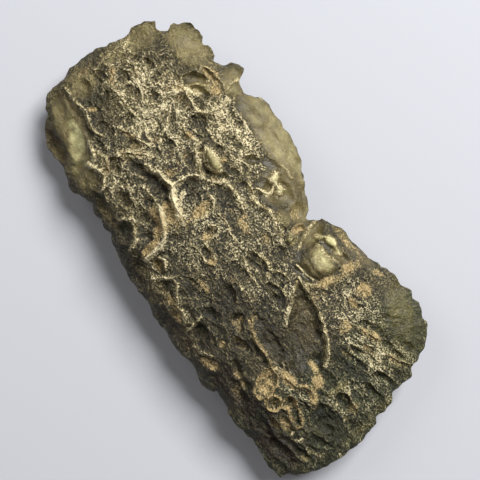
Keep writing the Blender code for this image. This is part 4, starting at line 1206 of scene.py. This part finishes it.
    def frosting(self, points: Array, x: Array, y: Array, edge: Array, network: Array, crown: Array) -> Array:
        """How frosted the skin is: most on crests, little in hollows and grooves, under stain and painted
        shade, and on bare patches.

        Args:
            points: The stone's points, in millimetres.
            x: Their places along the stone as seen from above.
            y: Their places across it.
            edge: How sharply each point stands out.
            network: How near it is to a crest between etched pits.
            crown: How far it belongs to the upper face, from 0 to 1.

        Returns:
            The frost at each point.
        """
        dust = painted(x, y, CREAMY, 0.3)
        cover = 0.25 + 0.75 * np.maximum(dust, 0.6 * (1.0 - crown))
        cover *= np.clip(0.80 + 0.6 * grain(points, 2.6, 21.0) + 0.4 * grain(points, 0.9, 23.0), 0.1, 1.2)
        frost = cover * (0.20 * edge + 0.78 * network) + 0.06 + 0.13 * dust**2
        # Less frost under the stain and painted shade, and none on the bare patches, which partly paint shade
        frost *= (1.0 - 0.85 * painted(x, y, STAIN_AND_SHADE)) * (1.0 - painted(x, y, BARE))
        for hollow in HOLLOWS:
            frost *= 1.0 - 0.45 * crown * smooth_step(1.0, 0.5, oval_reach(x, y, hollow))
        for groove in GROOVES:
            away = line_distance(x, y, groove.points) / groove.width
            frost *= 1.0 - 0.85 * crown * smooth_step(0.5, 0.2, away)
        return frost

    def clay_cover(self, points: Array, x: Array, y: Array, lip: Array, sunk: Array, crown: Array) -> Array:
        """Where clay lies: in its patches, on tan crests, in clay-floored hollows and here and there in pits.

        Args:
            points: The stone's points, in millimetres.
            x: Their places along the stone as seen from above.
            y: Their places across it.
            lip: How tan the crests make each point.
            sunk: How far it lies in a pit that isn't polished.
            crown: How far it belongs to the upper face, from 0 to 1.

        Returns:
            The clay at each point, from 0 to 1.
        """
        clay = np.maximum(painted(x, y, CLAY_PATCHES), lip)
        for hollow in HOLLOWS:
            if hollow.floor is Floor.CLAY:
                clay = np.maximum(clay, 0.75 * smooth_step(1.0, 0.5, oval_reach(x, y, hollow)))
        clay *= crown * (0.85 + 0.8 * grain(points, 0.9, 27.0) + 0.4 * grain(points, 2.4, 47.0))
        stray = 0.6 * smooth_step(0.1, 0.5, grain(points, 4.0, 29.0)) * sunk
        return np.clip(np.maximum(clay, stray), 0.0, 1.0)


def read_points(piece: bpy.types.Object) -> Array:
    """The piece's points, in millimetres."""
    flat = np.empty(len(piece.data.vertices) * 3)
    piece.data.vertices.foreach_get("co", flat)
    return flat.reshape(-1, 3) / MM


def write_points(piece: bpy.types.Object, points: Array) -> None:
    """Moves the piece's points to these places, in millimetres."""
    piece.data.vertices.foreach_set("co", (points * MM).ravel())
    piece.data.update()


def read_normals(piece: bpy.types.Object) -> Array:
    """Which way the surface faces at each of the piece's points."""
    flat = np.empty(len(piece.data.vertices) * 3, np.float32)
    piece.data.vertices.foreach_get("normal", flat)
    return flat.reshape(-1, 3).astype(float)


def add_attribute(piece: bpy.types.Object, name: str, values: Array) -> None:
    """Writes one number, or one vector, per point to the mesh under that name."""
    if values.ndim == 1:
        piece.data.attributes.new(name, "FLOAT", "POINT").data.foreach_set("value", values.astype(np.float32))
    else:
        layer = piece.data.attributes.new(name, "FLOAT_VECTOR", "POINT")
        layer.data.foreach_set("vector", values.astype(np.float32).ravel())


def read_attribute(piece: bpy.types.Object, name: str) -> Array:
    """One number per point, as written under that name."""
    values = np.empty(len(piece.data.vertices), np.float32)
    piece.data.attributes[name].data.foreach_get("value", values)
    return values.astype(float)


def edge_ends(piece: bpy.types.Object) -> tuple[Array, Array]:
    """The two points of each edge."""
    ends = np.empty(len(piece.data.edges) * 2, np.int32)
    piece.data.edges.foreach_get("vertices", ends)
    return tuple(ends.reshape(-1, 2).T)


def spread_out(piece: bpy.types.Object, values: Array, times: int) -> Array:
    """Evens numbers out between neighbouring points, that many times over."""
    a, b = edge_ends(piece)
    count = len(values)
    degree = np.bincount(a, minlength=count) + np.bincount(b, minlength=count)
    for _ in range(times):
        around = (np.bincount(a, values[b], count) + np.bincount(b, values[a], count)) / degree
        values = (values + around) / 2
    return values


def convexity(piece: bpy.types.Object, points: Array) -> Array:
    """How far each point stands out of its neighbours: above 0 on a crest and below 0 in a pit.

    Args:
        piece: The piece.
        points: Its points, in millimetres.

    Returns:
        The height of each point over its neighbours' middle, as a share of its distance from them.
    """
    a, b = edge_ends(piece)
    count = len(points)
    degree = np.bincount(a, minlength=count) + np.bincount(b, minlength=count)
    length = np.linalg.norm(points[a] - points[b], axis=1)
    reach = (np.bincount(a, length, count) + np.bincount(b, length, count)) / degree
    middle = np.stack([np.bincount(a, points[b, i], count) + np.bincount(b, points[a, i], count)
                       for i in range(3)], axis=1) / degree[:, None]
    return np.einsum("ij,ij->i", points - middle, read_normals(piece)) / reach


def main() -> None:
    """Builds the stone and its studio."""
    logging.basicConfig(level=logging.INFO, format="%(message)s")
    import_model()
    stone = Moldavite().build()
    stone.name = "moldavite_stone"
    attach(stone, "root")
    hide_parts(CAD_NODE)
    LOG.info("stone: %d triangles", len(stone.data.polygons))
    Studio().build()
    LOG.info("studio: floor, lights and camera")


if __name__ == "__main__":
    main()
